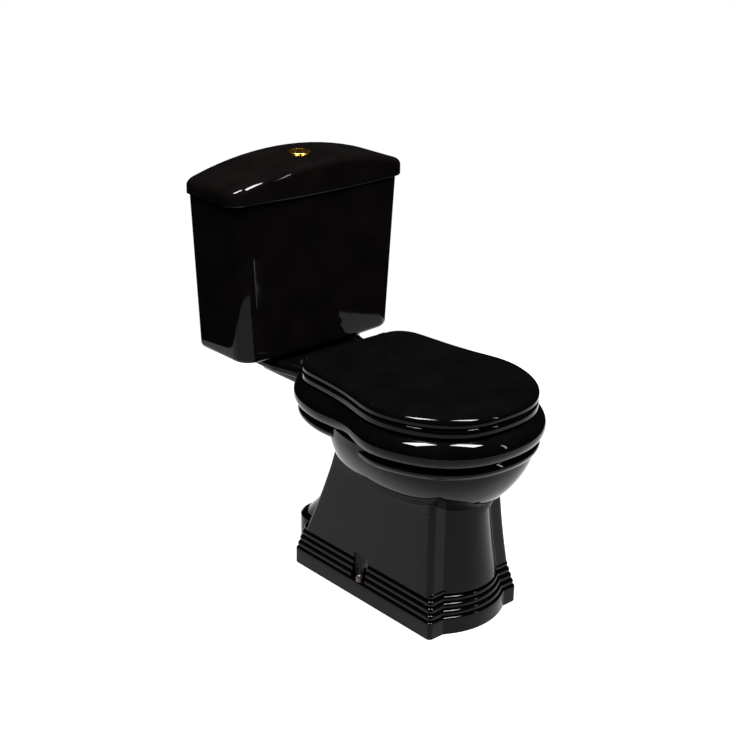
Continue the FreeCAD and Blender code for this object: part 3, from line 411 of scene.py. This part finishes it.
def moulding(i):
    """One of the three plates that follow the line where the bowl meets the trunk."""
    grow = (9.0, 6.0, 3.0)[i]
    down = (5.0, 10.0, 15.0)[i]
    wide = skin("plate", [trunk_ring(-grow, z) for z in (205, 215, 230, 245, 262, 280, 300, 320)])
    low = skin("under", bowl_rings(down) + [bowl_level(0) + [0, 0, 30 - down]])
    return carve(low, [("INTERSECT", wide)])


def basin_rings(thick=0.0):
    rings = []
    for drop in reversed([0, .08, .16, .25, .34, .43, .52, .6, .68, .75, .82, .88, .93, .97, 1.0]):
        swell = max(0.0, 1 - drop ** 1.9) ** 0.75
        half = 34 + 116 * swell
        y_front = -144 - 161 * swell
        y_back = -76 + 146 * swell
        z = 371 - 166 * drop
        rings.append(egg(half + thick, y_front - thick, (y_front + y_back) / 2, y_back + thick,
                         z - thick * drop))
    return rings


def opening_ring(d, z):
    return egg(135 - d, -290 + d, -125, 40 - d, z)


def trap_points(z_end):
    """The trap's centre line: down from the bowl, under, over the weir and down to the outlet."""
    def arc(centre, radius, a0, a1, count=14):
        turns = [math.radians(a) for a in np.linspace(a0, a1, count)]
        return [(centre[0] + radius * math.cos(a), centre[1] + radius * math.sin(a)) for a in turns]

    points = [(-110, 225), (-110, 200)] + arc((-65, 175), 45, 180, 360) + [(-20, 188)]
    points += arc((25, 200), 45, 180, 12)
    points += [(OUTLET_Y - 6 - k * 24, 42 + k * 32) for k in (3, 2, 1)]
    points += arc((171, 40), 12, 30, 0, 5) + [(OUTLET_Y, 20), (OUTLET_Y, z_end)]
    return [(0.0, y, z) for y, z in points]


def tube_tree():
    """Geometry Nodes: sweeps a round section along the piece's own curve."""
    tree = bpy.data.node_groups.new("swept_tube", "GeometryNodeTree")
    tree.interface.new_socket(name="Geometry", in_out="INPUT", socket_type="NodeSocketGeometry")
    radius = tree.interface.new_socket(name="Tube radius", in_out="INPUT", socket_type="NodeSocketFloat")
    sides = tree.interface.new_socket(name="Sides", in_out="INPUT", socket_type="NodeSocketInt")
    coat = tree.interface.new_socket(name="Material", in_out="INPUT", socket_type="NodeSocketMaterial")
    tree.interface.new_socket(name="Geometry", in_out="OUTPUT", socket_type="NodeSocketGeometry")
    start = add(tree, "NodeGroupInput")
    section = add(tree, "GeometryNodeCurvePrimitiveCircle", {"Radius": start.outputs["Tube radius"],
                                                             "Resolution": start.outputs["Sides"]})
    sweep = add(tree, "GeometryNodeCurveToMesh",
                {"Curve": start.outputs["Geometry"], "Profile Curve": section.outputs["Curve"],
                 "Fill Caps": True})
    real = add(tree, "GeometryNodeRealizeInstances", {"Geometry": sweep.outputs["Mesh"]})
    paint = add(tree, "GeometryNodeSetMaterial", {"Geometry": real.outputs["Geometry"],
                                                  "Material": start.outputs["Material"]})
    add(tree, "NodeGroupOutput", {"Geometry": paint.outputs["Geometry"]})
    return tree, {"radius": radius.identifier, "sides": sides.identifier, "coat": coat.identifier}


def tube(name, points, radius):
    """Runs the swept tube tree on a curve and keeps the plain mesh."""
    curve = bpy.data.curves.new(name, "CURVE")
    curve.dimensions = "3D"
    spline = curve.splines.new("POLY")
    spline.points.add(len(points) - 1)
    for point, (x, y, z) in zip(spline.points, points):
        point.co = (x * MM, y * MM, z * MM, 1.0)
    route = place(name + "_route", curve)
    tree, names = tube_tree()
    sweep = route.modifiers.new("sweep", "NODES")
    sweep.node_group = tree
    sweep[names["radius"]] = radius * MM
    sweep[names["sides"]] = TUBE_SIDES
    sweep[names["coat"]] = materials["pan_glaze"]
    graph = bpy.context.evaluated_depsgraph_get()
    mesh = bpy.data.meshes.new_from_object(route.evaluated_get(graph))
    bpy.data.objects.remove(route)
    piece = place(name, mesh)
    weld = piece.modifiers.new("weld", "WELD")
    weld.merge_threshold = 0.02 * MM
    return flatten(piece)


def deck_rings():
    def outline(d):
        left = [(-119.5 + d, 335 - d, 20.0), (-119.5 + d, 214, 30.0),
                (-97 + d, 120, 20.0), (-97 + d, 66, 5.0)]
        return rounded_loop(left + [(-x, y, r) for x, y, r in reversed(left)], 10, 8)

    rings = [at_level(outline(6 * (1 - math.sin(a))), 402 + 6 * (1 - math.cos(a)))
             for a in np.linspace(0, math.pi / 2, 6)]
    return rings + [at_level(outline(d), 426 - h) for d, h in quarter(8.0)]


def pocket_rings():
    left = [(-107.5, 323, 10.0), (-107.5, 214, 20.0), (-85, 171, 8.0)]
    flat = rounded_loop(left + [(-x, y, r) for x, y, r in reversed(left)])
    return [at_level(flat, 380), at_level(flat, 412)]


def boss_rings():
    rings = []
    for d, z in ((16, 350), (9.8, 351.2), (4.7, 354.7), (1.2, 359.8), (0, 366), (0, 390), (0, 421)):
        left = [(-52 + d, 332, 3.0), (-52 + d, 29, 3.0)]
        rings.append(at_level(rounded_loop(left + [(-x, y, r) for x, y, r in reversed(left)], 4, 12), z))
    return rings


def build_pan(look):
    pan = skin("pan_china", rim_rings())
    joins = [skin("bead", bead_rings()), skin("bowl", bowl_rings() + [bowl_level(0) + [0, 0, 14]]),
             skin("trunk", trunk_rings()), skin("foot", foot_rings(look.ridge_bulge / MM))]
    joins += [moulding(i) for i in range(3)]
    hollow = skin("hollow", [trunk_ring(16, z) for z in (-1, 40, 88)] +
                  [trunk_ring(12, z) for z in (100, 150, 200, 240)])
    hollow = carve(hollow, [("UNION", skin("bowl_hollow", bowl_rings(0, 14.0)[:-2])),
                            ("DIFFERENCE", skin("lining", basin_rings(12.0))),
                            ("DIFFERENCE", tube("trap_outer", trap_points(0.0), 42)),
                            ("DIFFERENCE", lathe("spigot_outer", [(51, 0), (51, 60)], 0, OUTLET_Y))])
    deck = carve(skin("deck", deck_rings()), [("DIFFERENCE", skin("pocket", pocket_rings()))])
    steps = [("UNION", piece) for piece in joins]
    steps += [("UNION", deck), ("UNION", skin("boss", boss_rings())),
              ("UNION", lathe("funnel", [(60, 393), (64, 397), (64, 421)], 0, VALVE_Y, 96)),
              ("DIFFERENCE", hollow),
              ("UNION", tube("trap", trap_points(0.0), 42)),
              ("UNION", lathe("spigot", [(49, 0), (51, 1.5), (51, 56), (47, 60)], 0, OUTLET_Y, 96))]
    cuts = [skin("basin", basin_rings()),
            skin("mouth", [opening_ring(0, 370.5), opening_ring(0, 380), opening_ring(0, 400),
                           opening_ring(0, 414)] +
                 [opening_ring(-12 * (1 - math.cos(a)), 414 + 12 * math.sin(a))
                  for a in np.linspace(0.2, math.pi / 2, 6)] + [opening_ring(-12.5, 427)]),
            tube("bore", trap_points(-1.0), 32),
            lathe("socket", [(42, -1), (42, 52)], 0, OUTLET_Y, 96),
            lathe("recess", [(30, 362), (30, 404.9), (52, 405), (52, 427)], 0, VALVE_Y, 96),
            bar("lead", -35, 35, 60, 272, 362, 393, 4)]
    for side in (-1, 1):
        cuts += [lathe("stud_hole", [(7, 361), (7, 427)], side * STUD_X, HINGE_Y, 32),
                 lathe("bolt_hole", [(6, 407), (6, 427)], side * BOLT_X, VALVE_Y, 32),
                 lathe("fixing_hole", [(5, -1), (5, 38)], side * FIXING_X, FIXING_Y, 32),
                 lathe("pocket", [(8.5, 36.5), (8.5, 60.5)], side * FIXING_X, FIXING_Y, 32),
                 bar("niche", min(side * 104.2, side * 125), max(side * 104.2, side * 125), -77, -37,
                     36.5, 91, 4)]
    steps += [("DIFFERENCE", cut) for cut in cuts]
    carve(pan, steps)
    dress(pan, materials["pan_glaze"], "vitreous_china", "china", "pan")


# ------------------------------------------------------------------ the cistern
def tank_loop(half, y_front, y_back, corner):
    """A box outline with round corners and a front that bows out a little."""
    back_corner, bow = 12.0, 7.0
    left = [(-half, y_back, back_corner), (-half, y_front, corner)]
    nose = (0.0, y_front - 2 * bow, 0.85 * math.hypot(half, 2 * bow) * half / (2 * bow) * 0.6)
    return rounded_loop(left + [nose] + [(-x, y, r) for x, y, r in reversed(left)], 14, 14)


def tank_ring(d, z):
    half = 218 - 21 * (769 - z) / 336
    return at_level(tank_loop(half - d, 202 + d, 353 - d, 38 - min(d, 20.0)), z)


def build_cistern():
    rings = [tank_ring(12 * (1 - math.sin(a)), 433 + 12 * (1 - math.cos(a)))
             for a in np.linspace(0, math.pi / 2, 8)]
    rings += [tank_ring(0, z) for z in np.linspace(460, 760, 16)]
    rings += [tank_ring(d, 769 - h) for d, h in quarter(3.0, 4)]
    tank = skin("cistern_china", rings)
    inside = skin("inside", [tank_ring(16, 447), tank_ring(12, 449),
                             tank_ring(10, 455), tank_ring(10, 770)])
    holes = [lathe("tail_hole", [(32, 432), (32, 448)], 0, VALVE_Y),
             lathe("inlet_hole", [(12.5, 432), (12.5, 448)], 156, VALVE_Y, 32)]
    holes += [lathe("bolt_hole", [(5, 432), (5, 448)], side * BOLT_X, VALVE_Y, 32)
              for side in (-1, 1)]
    carve(tank, [("DIFFERENCE", tool) for tool in [inside] + holes])
    dress(tank, materials["cistern_glaze"], "vitreous_china", "china", "cistern")


def cap_ring(d, z):
    return at_level(tank_loop(225 - d, 195 + d, 353 - d, 38 - min(d, 28.0)), z)


def arch(ring, rise, depth):
    """Lays a ring on the arch that runs from end to end of the cistern lid, depth below it."""
    radius = (225 ** 2 + rise ** 2) / (2 * rise)
    ring = ring.copy()
    ring[:, 2] = 827 - depth - radius + np.sqrt(radius ** 2 - ring[:, 0] ** 2)
    return ring


def cap_rings(look):
    rise, roll = look.cap_rise / MM, look.cap_roll / MM
    rings = [cap_ring(1.2, 763), cap_ring(0.3, 763.4), cap_ring(0, 764.2), cap_ring(0, 770)]
    shoulder = arch(cap_ring(0, 0), rise, roll)
    rings += [rings[-1] + (shoulder - rings[-1]) * t for t in (0.25, 0.5, 0.75)]
    rings += [arch(cap_ring(d, 0), rise, h) for d, h in quarter(roll, 12)]
    edge, middle = cap_ring(roll, 0), np.array([*CAP_MIDDLE, 0.0])
    spreads = (.985, .96, .93, .89, .84, .78, .71, .64, .57, .5, .42, .34, .26, .19, .13, .07)
    return rings + [arch(middle + (edge - middle) * t, rise, 0) for t in spreads]


def build_cistern_lid(look):
    lid = skin("cistern_lid_china", cap_rings(look))
    rise, middle = look.cap_rise / MM, np.array([*CAP_MIDDLE, 0.0])
    inside = arch(cap_ring(16, 0), rise, 14)
    cuts = [skin("rebate", [tank_ring(-0.8, 762), tank_ring(-0.8, 769)]),
            skin("hollow", [cap_ring(16, 762), cap_ring(16, 768), inside] +
                 [arch(middle + (inside - middle) * t, rise, 14)
                  for t in (.9, .75, .6, .45, .3, .15)]),
            lathe("well", [(33.5, 762), (33.5, 813)], 0, VALVE_Y),
            lathe("collar_hole", [(22.5, 762), (22.5, 840)], 0, VALVE_Y, 96),
            lathe("spot_face", [(25, 826), (25, 840)], 0, VALVE_Y, 96)]
    carve(lid, [("DIFFERENCE", cut) for cut in cuts])
    dress(lid, materials["cistern_glaze"], "vitreous_china", "china", "cistern_lid")


# ------------------------------------------------------------------ seat and lid
SEAT_HALF = [(0, -334), (78, -322), (133, -281), (168, -218), (179, -155), (170, -98), (160, -50),
             (154, 0), (150, 45), (143, 82), (122, 107), (85, 115), (0, 116)]


def arm(name, side, x0, x1, z0, z1):
    """A hinge barrel with the arm that carries it."""
    a, b = sorted((side * x0, side * x1))
    block = bar(name, a, b, 85.0, HINGE_Y, z0, z1, 1.0)
    barrel = lathe("barrel", [(8, a), (9, a + 1), (9, b - 1), (8, b)], HINGE_Y, HINGE_Z, 48, "X")
    return carve(block, [("UNION", barrel)])


def bore():
    return lathe("bore", [(4.1, -130), (4.1, 130)], HINGE_Y, HINGE_Z, 32, "X")


def build_seat_ring():
    outline = spline_loop(SEAT_HALF)
    rings = [at_level(inset(outline, 3 * (1 - math.sin(a))), 430 + 3 * (1 - math.cos(a)))
             for a in np.linspace(0, math.pi / 2, 5)]
    rings += [at_level(inset(outline, d), 448 - h) for d, h in quarter(6.0)]

    def hole(d, z):
        return egg(106 - d, -258 + d, -116.5, 25 - d, z)

    rings += [hole(-6 * (1 - math.sin(a)), 448 - 6 * (1 - math.cos(a)))
              for a in np.linspace(0, math.pi / 2, 6)]
    rings += [hole(0, 436), hole(-2, 430)]
    seat = skin("seat_ring_lacquered", rings, hoop=True)
    steps = [("UNION", arm("seat_arm", side, 48, 66, 439, 446)) for side in (-1, 1)]
    carve(seat, steps + [("DIFFERENCE", bore())])
    dress(seat, materials["seat_lacquer"], "seat_plastic", "seat", "seat_ring")


def build_seat_lid(look):
    outline = spline_loop([(x * 1.008, y) for x, y in SEAT_HALF])
    rings = [at_level(inset(outline, d), z) for d, z in
             [(60, 459), (24, 459), (16, 458.5), (13, 457), (12, 454), (12, 450.6), (11.4, 450),
              (3, 450), (1, 450.4), (0.2, 451.4), (0, 453), (0, 456.5)]]
    roll = look.seat_roll / MM
    rings += [at_level(inset(outline, d), 467.5 - h) for d, h in quarter(roll, 9)]
    middle = np.array([0.0, -109.0])
    edge = inset(outline, roll)
    # the top narrows to the middle and closes there
    for spread in (.985, .965, .94, .91, .87, .82, .76, .69, .61, .52, .42, .32, .22, .12):
        flat = middle + (edge - middle) * spread
        rings.append(at_level(flat, 467.5 + look.seat_crown / MM * (1 - spread ** 2)))
    lid = skin("seat_lid_lacquered", rings)
    steps = [("UNION", arm("lid_arm", side, 89, 107, 450, 459)) for side in (-1, 1)]
    carve(lid, steps + [("DIFFERENCE", bore())])
    dress(lid, materials["seat_lacquer"], "seat_plastic", "lid", "seat_lid")


def pad_tree():
    """Geometry Nodes: one round rubber pad, a short cylinder, on each point of the piece's own mesh."""
    tree = bpy.data.node_groups.new("bumper_pads", "GeometryNodeTree")
    tree.interface.new_socket(name="Geometry", in_out="INPUT", socket_type="NodeSocketGeometry")
    radius = tree.interface.new_socket(name="Pad radius", in_out="INPUT", socket_type="NodeSocketFloat")
    height = tree.interface.new_socket(name="Pad height", in_out="INPUT", socket_type="NodeSocketFloat")
    coat = tree.interface.new_socket(name="Material", in_out="INPUT", socket_type="NodeSocketMaterial")
    tree.interface.new_socket(name="Geometry", in_out="OUTPUT", socket_type="NodeSocketGeometry")
    start = add(tree, "NodeGroupInput")
    puck = add(tree, "GeometryNodeMeshCylinder", {"Vertices": 40, "Side Segments": 3, "Fill Segments": 4,
                                                  "Radius": start.outputs["Pad radius"],
                                                  "Depth": start.outputs["Pad height"]})
    spread = add(tree, "GeometryNodeInstanceOnPoints", {"Points": start.outputs["Geometry"],
                                                        "Instance": puck.outputs["Mesh"]})
    real = add(tree, "GeometryNodeRealizeInstances", {"Geometry": spread.outputs["Instances"]})
    paint = add(tree, "GeometryNodeSetMaterial", {"Geometry": real.outputs["Geometry"],
                                                  "Material": start.outputs["Material"]})
    add(tree, "NodeGroupOutput", {"Geometry": paint.outputs["Geometry"]})
    return tree, [s.identifier for s in (radius, height, coat)]


def build_pads(look, name, node, body, z0, z1):
    spots = [(side * x * MM, y * MM, (z0 + z1) / 2 * MM)
             for x, y in ((151, -157), (120, 50)) for side in (1, -1)]
    mesh = bpy.data.meshes.new(name)
    mesh.from_pydata(spots, [], [])
    piece = place(name, mesh)
    tree, (radius, height, coat) = pad_tree()
    make = piece.modifiers.new("pads", "NODES")
    make.node_group = tree
    make[radius] = look.pad_radius
    make[height] = (z1 - z0) * MM
    make[coat] = materials["pad"]
    flatten(piece)
    soften = piece.modifiers.new("soften", "BEVEL")
    soften.width = 1.0 * MM
    soften.segments = 3
    soften.limit_method = "ANGLE"
    flatten(piece)
    dress(piece, materials["pad"], "pad_rubber", body, node)


# ------------------------------------------------------------------ push button
def build_button(look):
    rim = [(21.5, 792), (21.5, 826), (23.6, 826), (24, 826.4), (24, 827.2)]
    rim += [(24 - 2.6 * (1 - math.cos(a)), 827.2 + 2.6 * math.sin(a))
            for a in np.linspace(0.2, math.pi / 2, 7)]
    rim += [(20.2, 829.8), (19.3, 829.2), (19.0, 828.2), (19.0, 795), (0.5, 795)]
    bezel = lathe("bezel_brass", rim, 0, VALVE_Y, 128)
    holes = [lathe("rod_hole", [(3.0, 791), (3.0, 796)], rod, VALVE_Y, 24) for rod in (-8.0, 11.0)]
    carve(bezel, [("DIFFERENCE", hole) for hole in holes])
    dress(bezel, materials["brass"], "button_brass", "china", "button_bezel")
    for name, body, node, x0, x1 in (
            ("full_button_brass", "full_button", "full_flush_button", -30.0, 3.6),
            ("half_button_brass", "half_button", "half_flush_button", 4.4, 30.0)):
        disc = [(18.6, 819), (18.6, 828.2)]
        disc += [(18.6 - (1 - math.cos(a)), 828.0 + math.sin(a)) for a in np.linspace(0.3, 1.57, 4)]
        disc += [(r, 829.0 - look.button_crown / MM * (1 - (r / 17.6) ** 2))
                 for r in (16, 14, 11, 8, 5, 2.5)]
        half = lathe(name, disc, 0, VALVE_Y, 128)
        carve(half, [("INTERSECT", bar("side", x0, x1, VALVE_Y - 30, VALVE_Y + 30, 810, 840))])
        soften = half.modifiers.new("soften", "BEVEL")
        soften.width = 0.35 * MM
        soften.segments = 2
        soften.limit_method = "ANGLE"
        soften.angle_limit = math.radians(50)
        flatten(half)
        dress(half, materials["brass"], "button_brass", body, node)


# ------------------------------------------------------------------ hardware
HARDWARE = {
    "enamel": ["hinge_bar", "hinge_posts"],
    "bolt": ["hinge_studs", "lever_pins", "coupling_bolts", "coupling_washers", "coupling_wing_nuts",
             "fill_valve_backnut", "float_arm_pin"],
    "valve": ["full_push_rod", "half_push_rod", "flush_valve_body", "overflow_tube", "half_flush_float",
              "fill_valve_body", "fill_valve_plunger", "float_cup"],
    "grey": ["hinge_wing_nuts", "button_nut", "full_flush_lever", "half_flush_lever",
             "flush_valve_backnut", "fill_valve_cap", "float_arm", "floor_screw_washers"],
    "rubber": ["hinge_cone_washers", "flush_seal", "flush_valve_gasket", "doughnut_washer",
               "coupling_bolt_seals", "fill_valve_gasket"],
    "spring": ["full_button_spring", "half_button_spring"],
    "cap": ["floor_screw_caps"],
}


def finish_hardware():
    for key, names in HARDWARE.items():
        for name in names:
            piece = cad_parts[name]
            piece.data.materials.clear()
            piece.data.materials.append(materials[key])


# ------------------------------------------------------------------ studio
def aim(piece, place_at, target, roll=0.0):
    """Stands a light or the camera at a place, looking at the target."""
    back = (Vector(place_at) - Vector(target)).normalized()
    right = Vector((0, 0, 1)).cross(back).normalized()
    up = back.cross(right)
    turned = right * math.cos(roll) + up * math.sin(roll)
    risen = up * math.cos(roll) - right * math.sin(roll)
    piece.matrix_world = Matrix((turned, risen, back)).transposed().to_4x4()
    piece.location = place_at


def soft_box(name, azimuth, elevation, distance, wide, tall, power):
    """A rectangular light that looks at the object's middle; angles in degrees, sizes in metres."""
    light = bpy.data.lights.new(name, "AREA")
    light.shape = "RECTANGLE"
    light.size, light.size_y = wide, tall
    light.energy = power
    lamp = bpy.data.objects.new(name, light)
    bpy.context.scene.collection.objects.link(lamp)
    a, e = math.radians(azimuth), math.radians(elevation)
    target = Vector((0.0, -0.10, 0.40))
    spot = target + Vector((math.cos(a) * math.cos(e), math.sin(a) * math.cos(e), math.sin(e))) * distance
    aim(lamp, spot, target)


def build_floor(look):
    turns = np.linspace(0, 2 * np.pi, 96, endpoint=False)
    ring = np.column_stack([np.cos(turns), np.sin(turns), np.zeros(96)]) * look.floor_radius
    mesh = bpy.data.meshes.new("floor")
    mesh.from_pydata(ring.tolist(), [], [list(range(96))])
    floor = place("studio_floor", mesh)
    material = bpy.data.materials.new("studio_paper_white")
    material.use_nodes = True
    shader = material.node_tree.nodes["Principled BSDF"]
    shader.inputs["Base Color"].default_value = (0.15, 0.15, 0.15, 1)
    shader.inputs["Roughness"].default_value = 0.9
    shader.inputs["Specular IOR Level"].default_value = 0.0
    shader.inputs["Emission Color"].default_value = (1.0, 1.0, 1.0, 1)
    shader.inputs["Emission Strength"].default_value = look.floor_glow
    mesh.materials.append(material)


def build_world(look):
    world = bpy.data.worlds.new("studio")
    bpy.context.scene.world = world
    world.use_nodes = True
    tree = world.node_tree
    back = tree.nodes["Background"]
    back.inputs["Color"].default_value = (1.0, 1.0, 1.0, 1)
    path = add(tree, "ShaderNodeLightPath")
    level = add(tree, "ShaderNodeMapRange", {"Value": path.outputs["Is Camera Ray"],
                                             "To Min": look.room, "To Max": 1.0})
    tree.links.new(level.outputs["Result"], back.inputs["Strength"])


def build_camera():
    data = bpy.data.cameras.new("camera")
    data.sensor_width = 36.0
    data.lens = 73.68
    data.shift_x, data.shift_y = 0.00622, -0.03439
    data.clip_end = 200.0
    camera = bpy.data.objects.new("camera", data)
    bpy.context.scene.collection.objects.link(camera)
    a, e = math.radians(-41.803), math.radians(20.823)
    back = Vector((math.sin(a) * math.cos(e), -math.cos(a) * math.cos(e), math.sin(e)))
    spot = Vector((-1.8675, -2.0193, 1.5441))
    aim(camera, spot, spot - back, math.radians(1.0457))
    bpy.context.scene.camera = camera


def build_studio(look):
    build_floor(look)
    build_world(look)
    soft_box("soft_box_left", -182, 66, 3.0, 0.6, 1.5, 400)
    soft_box("soft_box_front", -76, 66, 3.0, 0.6, 1.5, 400)
    soft_box("strip_right", -61, 14, 3.0, 0.10, 1.2, 14)
    build_camera()
    bpy.context.scene.view_settings.view_transform = "Standard"


# ------------------------------------------------------------------ settings
def length(name, description, default):
    return FloatProperty(name=name, description=description, default=default, min=0.0, soft_max=1.0,
                         unit="LENGTH", subtype="DISTANCE", precision=4)


def colour(name, description, default):
    return FloatVectorProperty(name=name, description=description, default=linear(default)[:3],
                               subtype="COLOR", size=3, min=0.0, max=1.0)


def amount(name, description, default):
    return FloatProperty(name=name, description=description, default=default, min=0.0, max=2.0,
                         subtype="FACTOR")


class ToiletLook(bpy.types.PropertyGroup):
    """The sizes and colours a user would change."""
    cap_rise: length("Lid arch", "Rise of the cistern lid's arch", 0.036)
    cap_roll: length("Lid edge", "Rounding along the cistern lid's top edge", 0.012)
    seat_roll: length("Seat lid edge", "Rounding along the seat lid's top edge", 0.010)
    seat_crown: length("Seat lid crown", "Rise of the seat lid's middle over its edge", 0.006)
    ridge_bulge: length("Foot ridges", "How far the foot's ridges stand out", 0.0032)
    pad_radius: length("Pad radius", "Radius of the seat's rubber pads", 0.009)
    button_crown: length("Button crown", "Rise of the push button's middle", 0.001)
    cistern_colour: colour("Cistern colour", "Glaze of the cistern and its lid", "040303")
    pan_colour: colour("Pan colour", "Glaze of the pan", "020202")
    seat_colour: colour("Seat colour", "Lacquer of the seat and its lid", "020202")
    brass_colour: colour("Brass colour", "Polished brass of the push button", "d9a441")
    glaze_ior: FloatProperty(name="Glaze IOR", description="Strength of the glaze's reflections",
                             default=1.18, min=1.0, max=2.0)
    glaze_wave: length("Glaze wave", "Height of the slow waves in the glaze", 0.00012)
    floor_glow: amount("Floor glow", "How bright the studio floor is by itself", 0.9)
    floor_radius: length("Floor radius", "Radius of the round studio floor", 1.3)
    room: amount("Room light", "Light that comes from the rest of the room", 0.01)


class TOILET_OT_pan(bpy.types.Operator):
    """Builds the pan: rim, bowl, trunk, foot, deck and trap"""
    bl_idname = "toilet.build_pan"
    bl_label = "Build the pan"

    def execute(self, context):
        look = context.scene.toilet_look
        build_pan(look)
        return {"FINISHED"}


class TOILET_OT_cistern(bpy.types.Operator):
    """Builds the cistern"""
    bl_idname = "toilet.build_cistern"
    bl_label = "Build the cistern"

    def execute(self, context):
        build_cistern()
        return {"FINISHED"}


class TOILET_OT_cistern_lid(bpy.types.Operator):
    """Builds the arched cistern lid"""
    bl_idname = "toilet.build_cistern_lid"
    bl_label = "Build the cistern lid"

    def execute(self, context):
        look = context.scene.toilet_look
        build_cistern_lid(look)
        return {"FINISHED"}


class TOILET_OT_seat_ring(bpy.types.Operator):
    """Builds the seat ring"""
    bl_idname = "toilet.build_seat_ring"
    bl_label = "Build the seat ring"

    def execute(self, context):
        build_seat_ring()
        return {"FINISHED"}


class TOILET_OT_seat_lid(bpy.types.Operator):
    """Builds the seat lid"""
    bl_idname = "toilet.build_seat_lid"
    bl_label = "Build the seat lid"

    def execute(self, context):
        look = context.scene.toilet_look
        build_seat_lid(look)
        return {"FINISHED"}


class TOILET_OT_pads(bpy.types.Operator):
    """Builds the rubber pads of the seat ring and the lid"""
    bl_idname = "toilet.build_pads"
    bl_label = "Build the pads"

    def execute(self, context):
        look = context.scene.toilet_look
        build_pads(look, "seat_pads_rubber", "seat_bumpers", "seat", 426.3, 430)
        build_pads(look, "lid_pads_rubber", "lid_bumpers", "lid", 448.3, 459)
        return {"FINISHED"}


class TOILET_OT_button(bpy.types.Operator):
    """Builds the two part push button and its bezel"""
    bl_idname = "toilet.build_button"
    bl_label = "Build the push button"

    def execute(self, context):
        look = context.scene.toilet_look
        build_button(look)
        return {"FINISHED"}


class TOILET_OT_hardware(bpy.types.Operator):
    """Gives the hinge, valve and fixing pieces their materials"""
    bl_idname = "toilet.finish_hardware"
    bl_label = "Finish the hardware"

    def execute(self, context):
        finish_hardware()
        return {"FINISHED"}


class TOILET_OT_studio(bpy.types.Operator):
    """Builds the floor, the soft boxes, the room and the camera"""
    bl_idname = "toilet.build_studio"
    bl_label = "Build the studio"

    def execute(self, context):
        look = context.scene.toilet_look
        build_studio(look)
        return {"FINISHED"}


class TOILET_PT_panel(bpy.types.Panel):
    """Lists the settings and the builders"""
    bl_label = "Toilet"
    bl_space_type = "VIEW_3D"
    bl_region_type = "UI"
    bl_category = "Toilet"

    def draw(self, context):
        for name in ToiletLook.__annotations__:
            self.layout.prop(context.scene.toilet_look, name)
        for builder in OPERATORS:
            self.layout.operator(builder.bl_idname)


OPERATORS = (TOILET_OT_pan, TOILET_OT_cistern, TOILET_OT_cistern_lid, TOILET_OT_seat_ring,
             TOILET_OT_seat_lid, TOILET_OT_pads, TOILET_OT_button, TOILET_OT_hardware,
             TOILET_OT_studio)
CLASSES = (ToiletLook,) + OPERATORS + (TOILET_PT_panel,)


def register():
    for cls in CLASSES:
        bpy.utils.register_class(cls)
    bpy.types.Scene.toilet_look = PointerProperty(type=ToiletLook)


def unregister():
    del bpy.types.Scene.toilet_look
    for cls in reversed(CLASSES):
        bpy.utils.unregister_class(cls)


def main():
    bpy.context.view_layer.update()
    register()
    make_materials(bpy.context.scene.toilet_look)
    bpy.ops.toilet.build_pan()
    bpy.ops.toilet.build_cistern()
    bpy.ops.toilet.build_cistern_lid()
    bpy.ops.toilet.build_seat_ring()
    bpy.ops.toilet.build_seat_lid()
    bpy.ops.toilet.build_pads()
    bpy.ops.toilet.build_button()
    bpy.ops.toilet.finish_hardware()
    bpy.ops.toilet.build_studio()


if __name__ == "__main__":
    main()
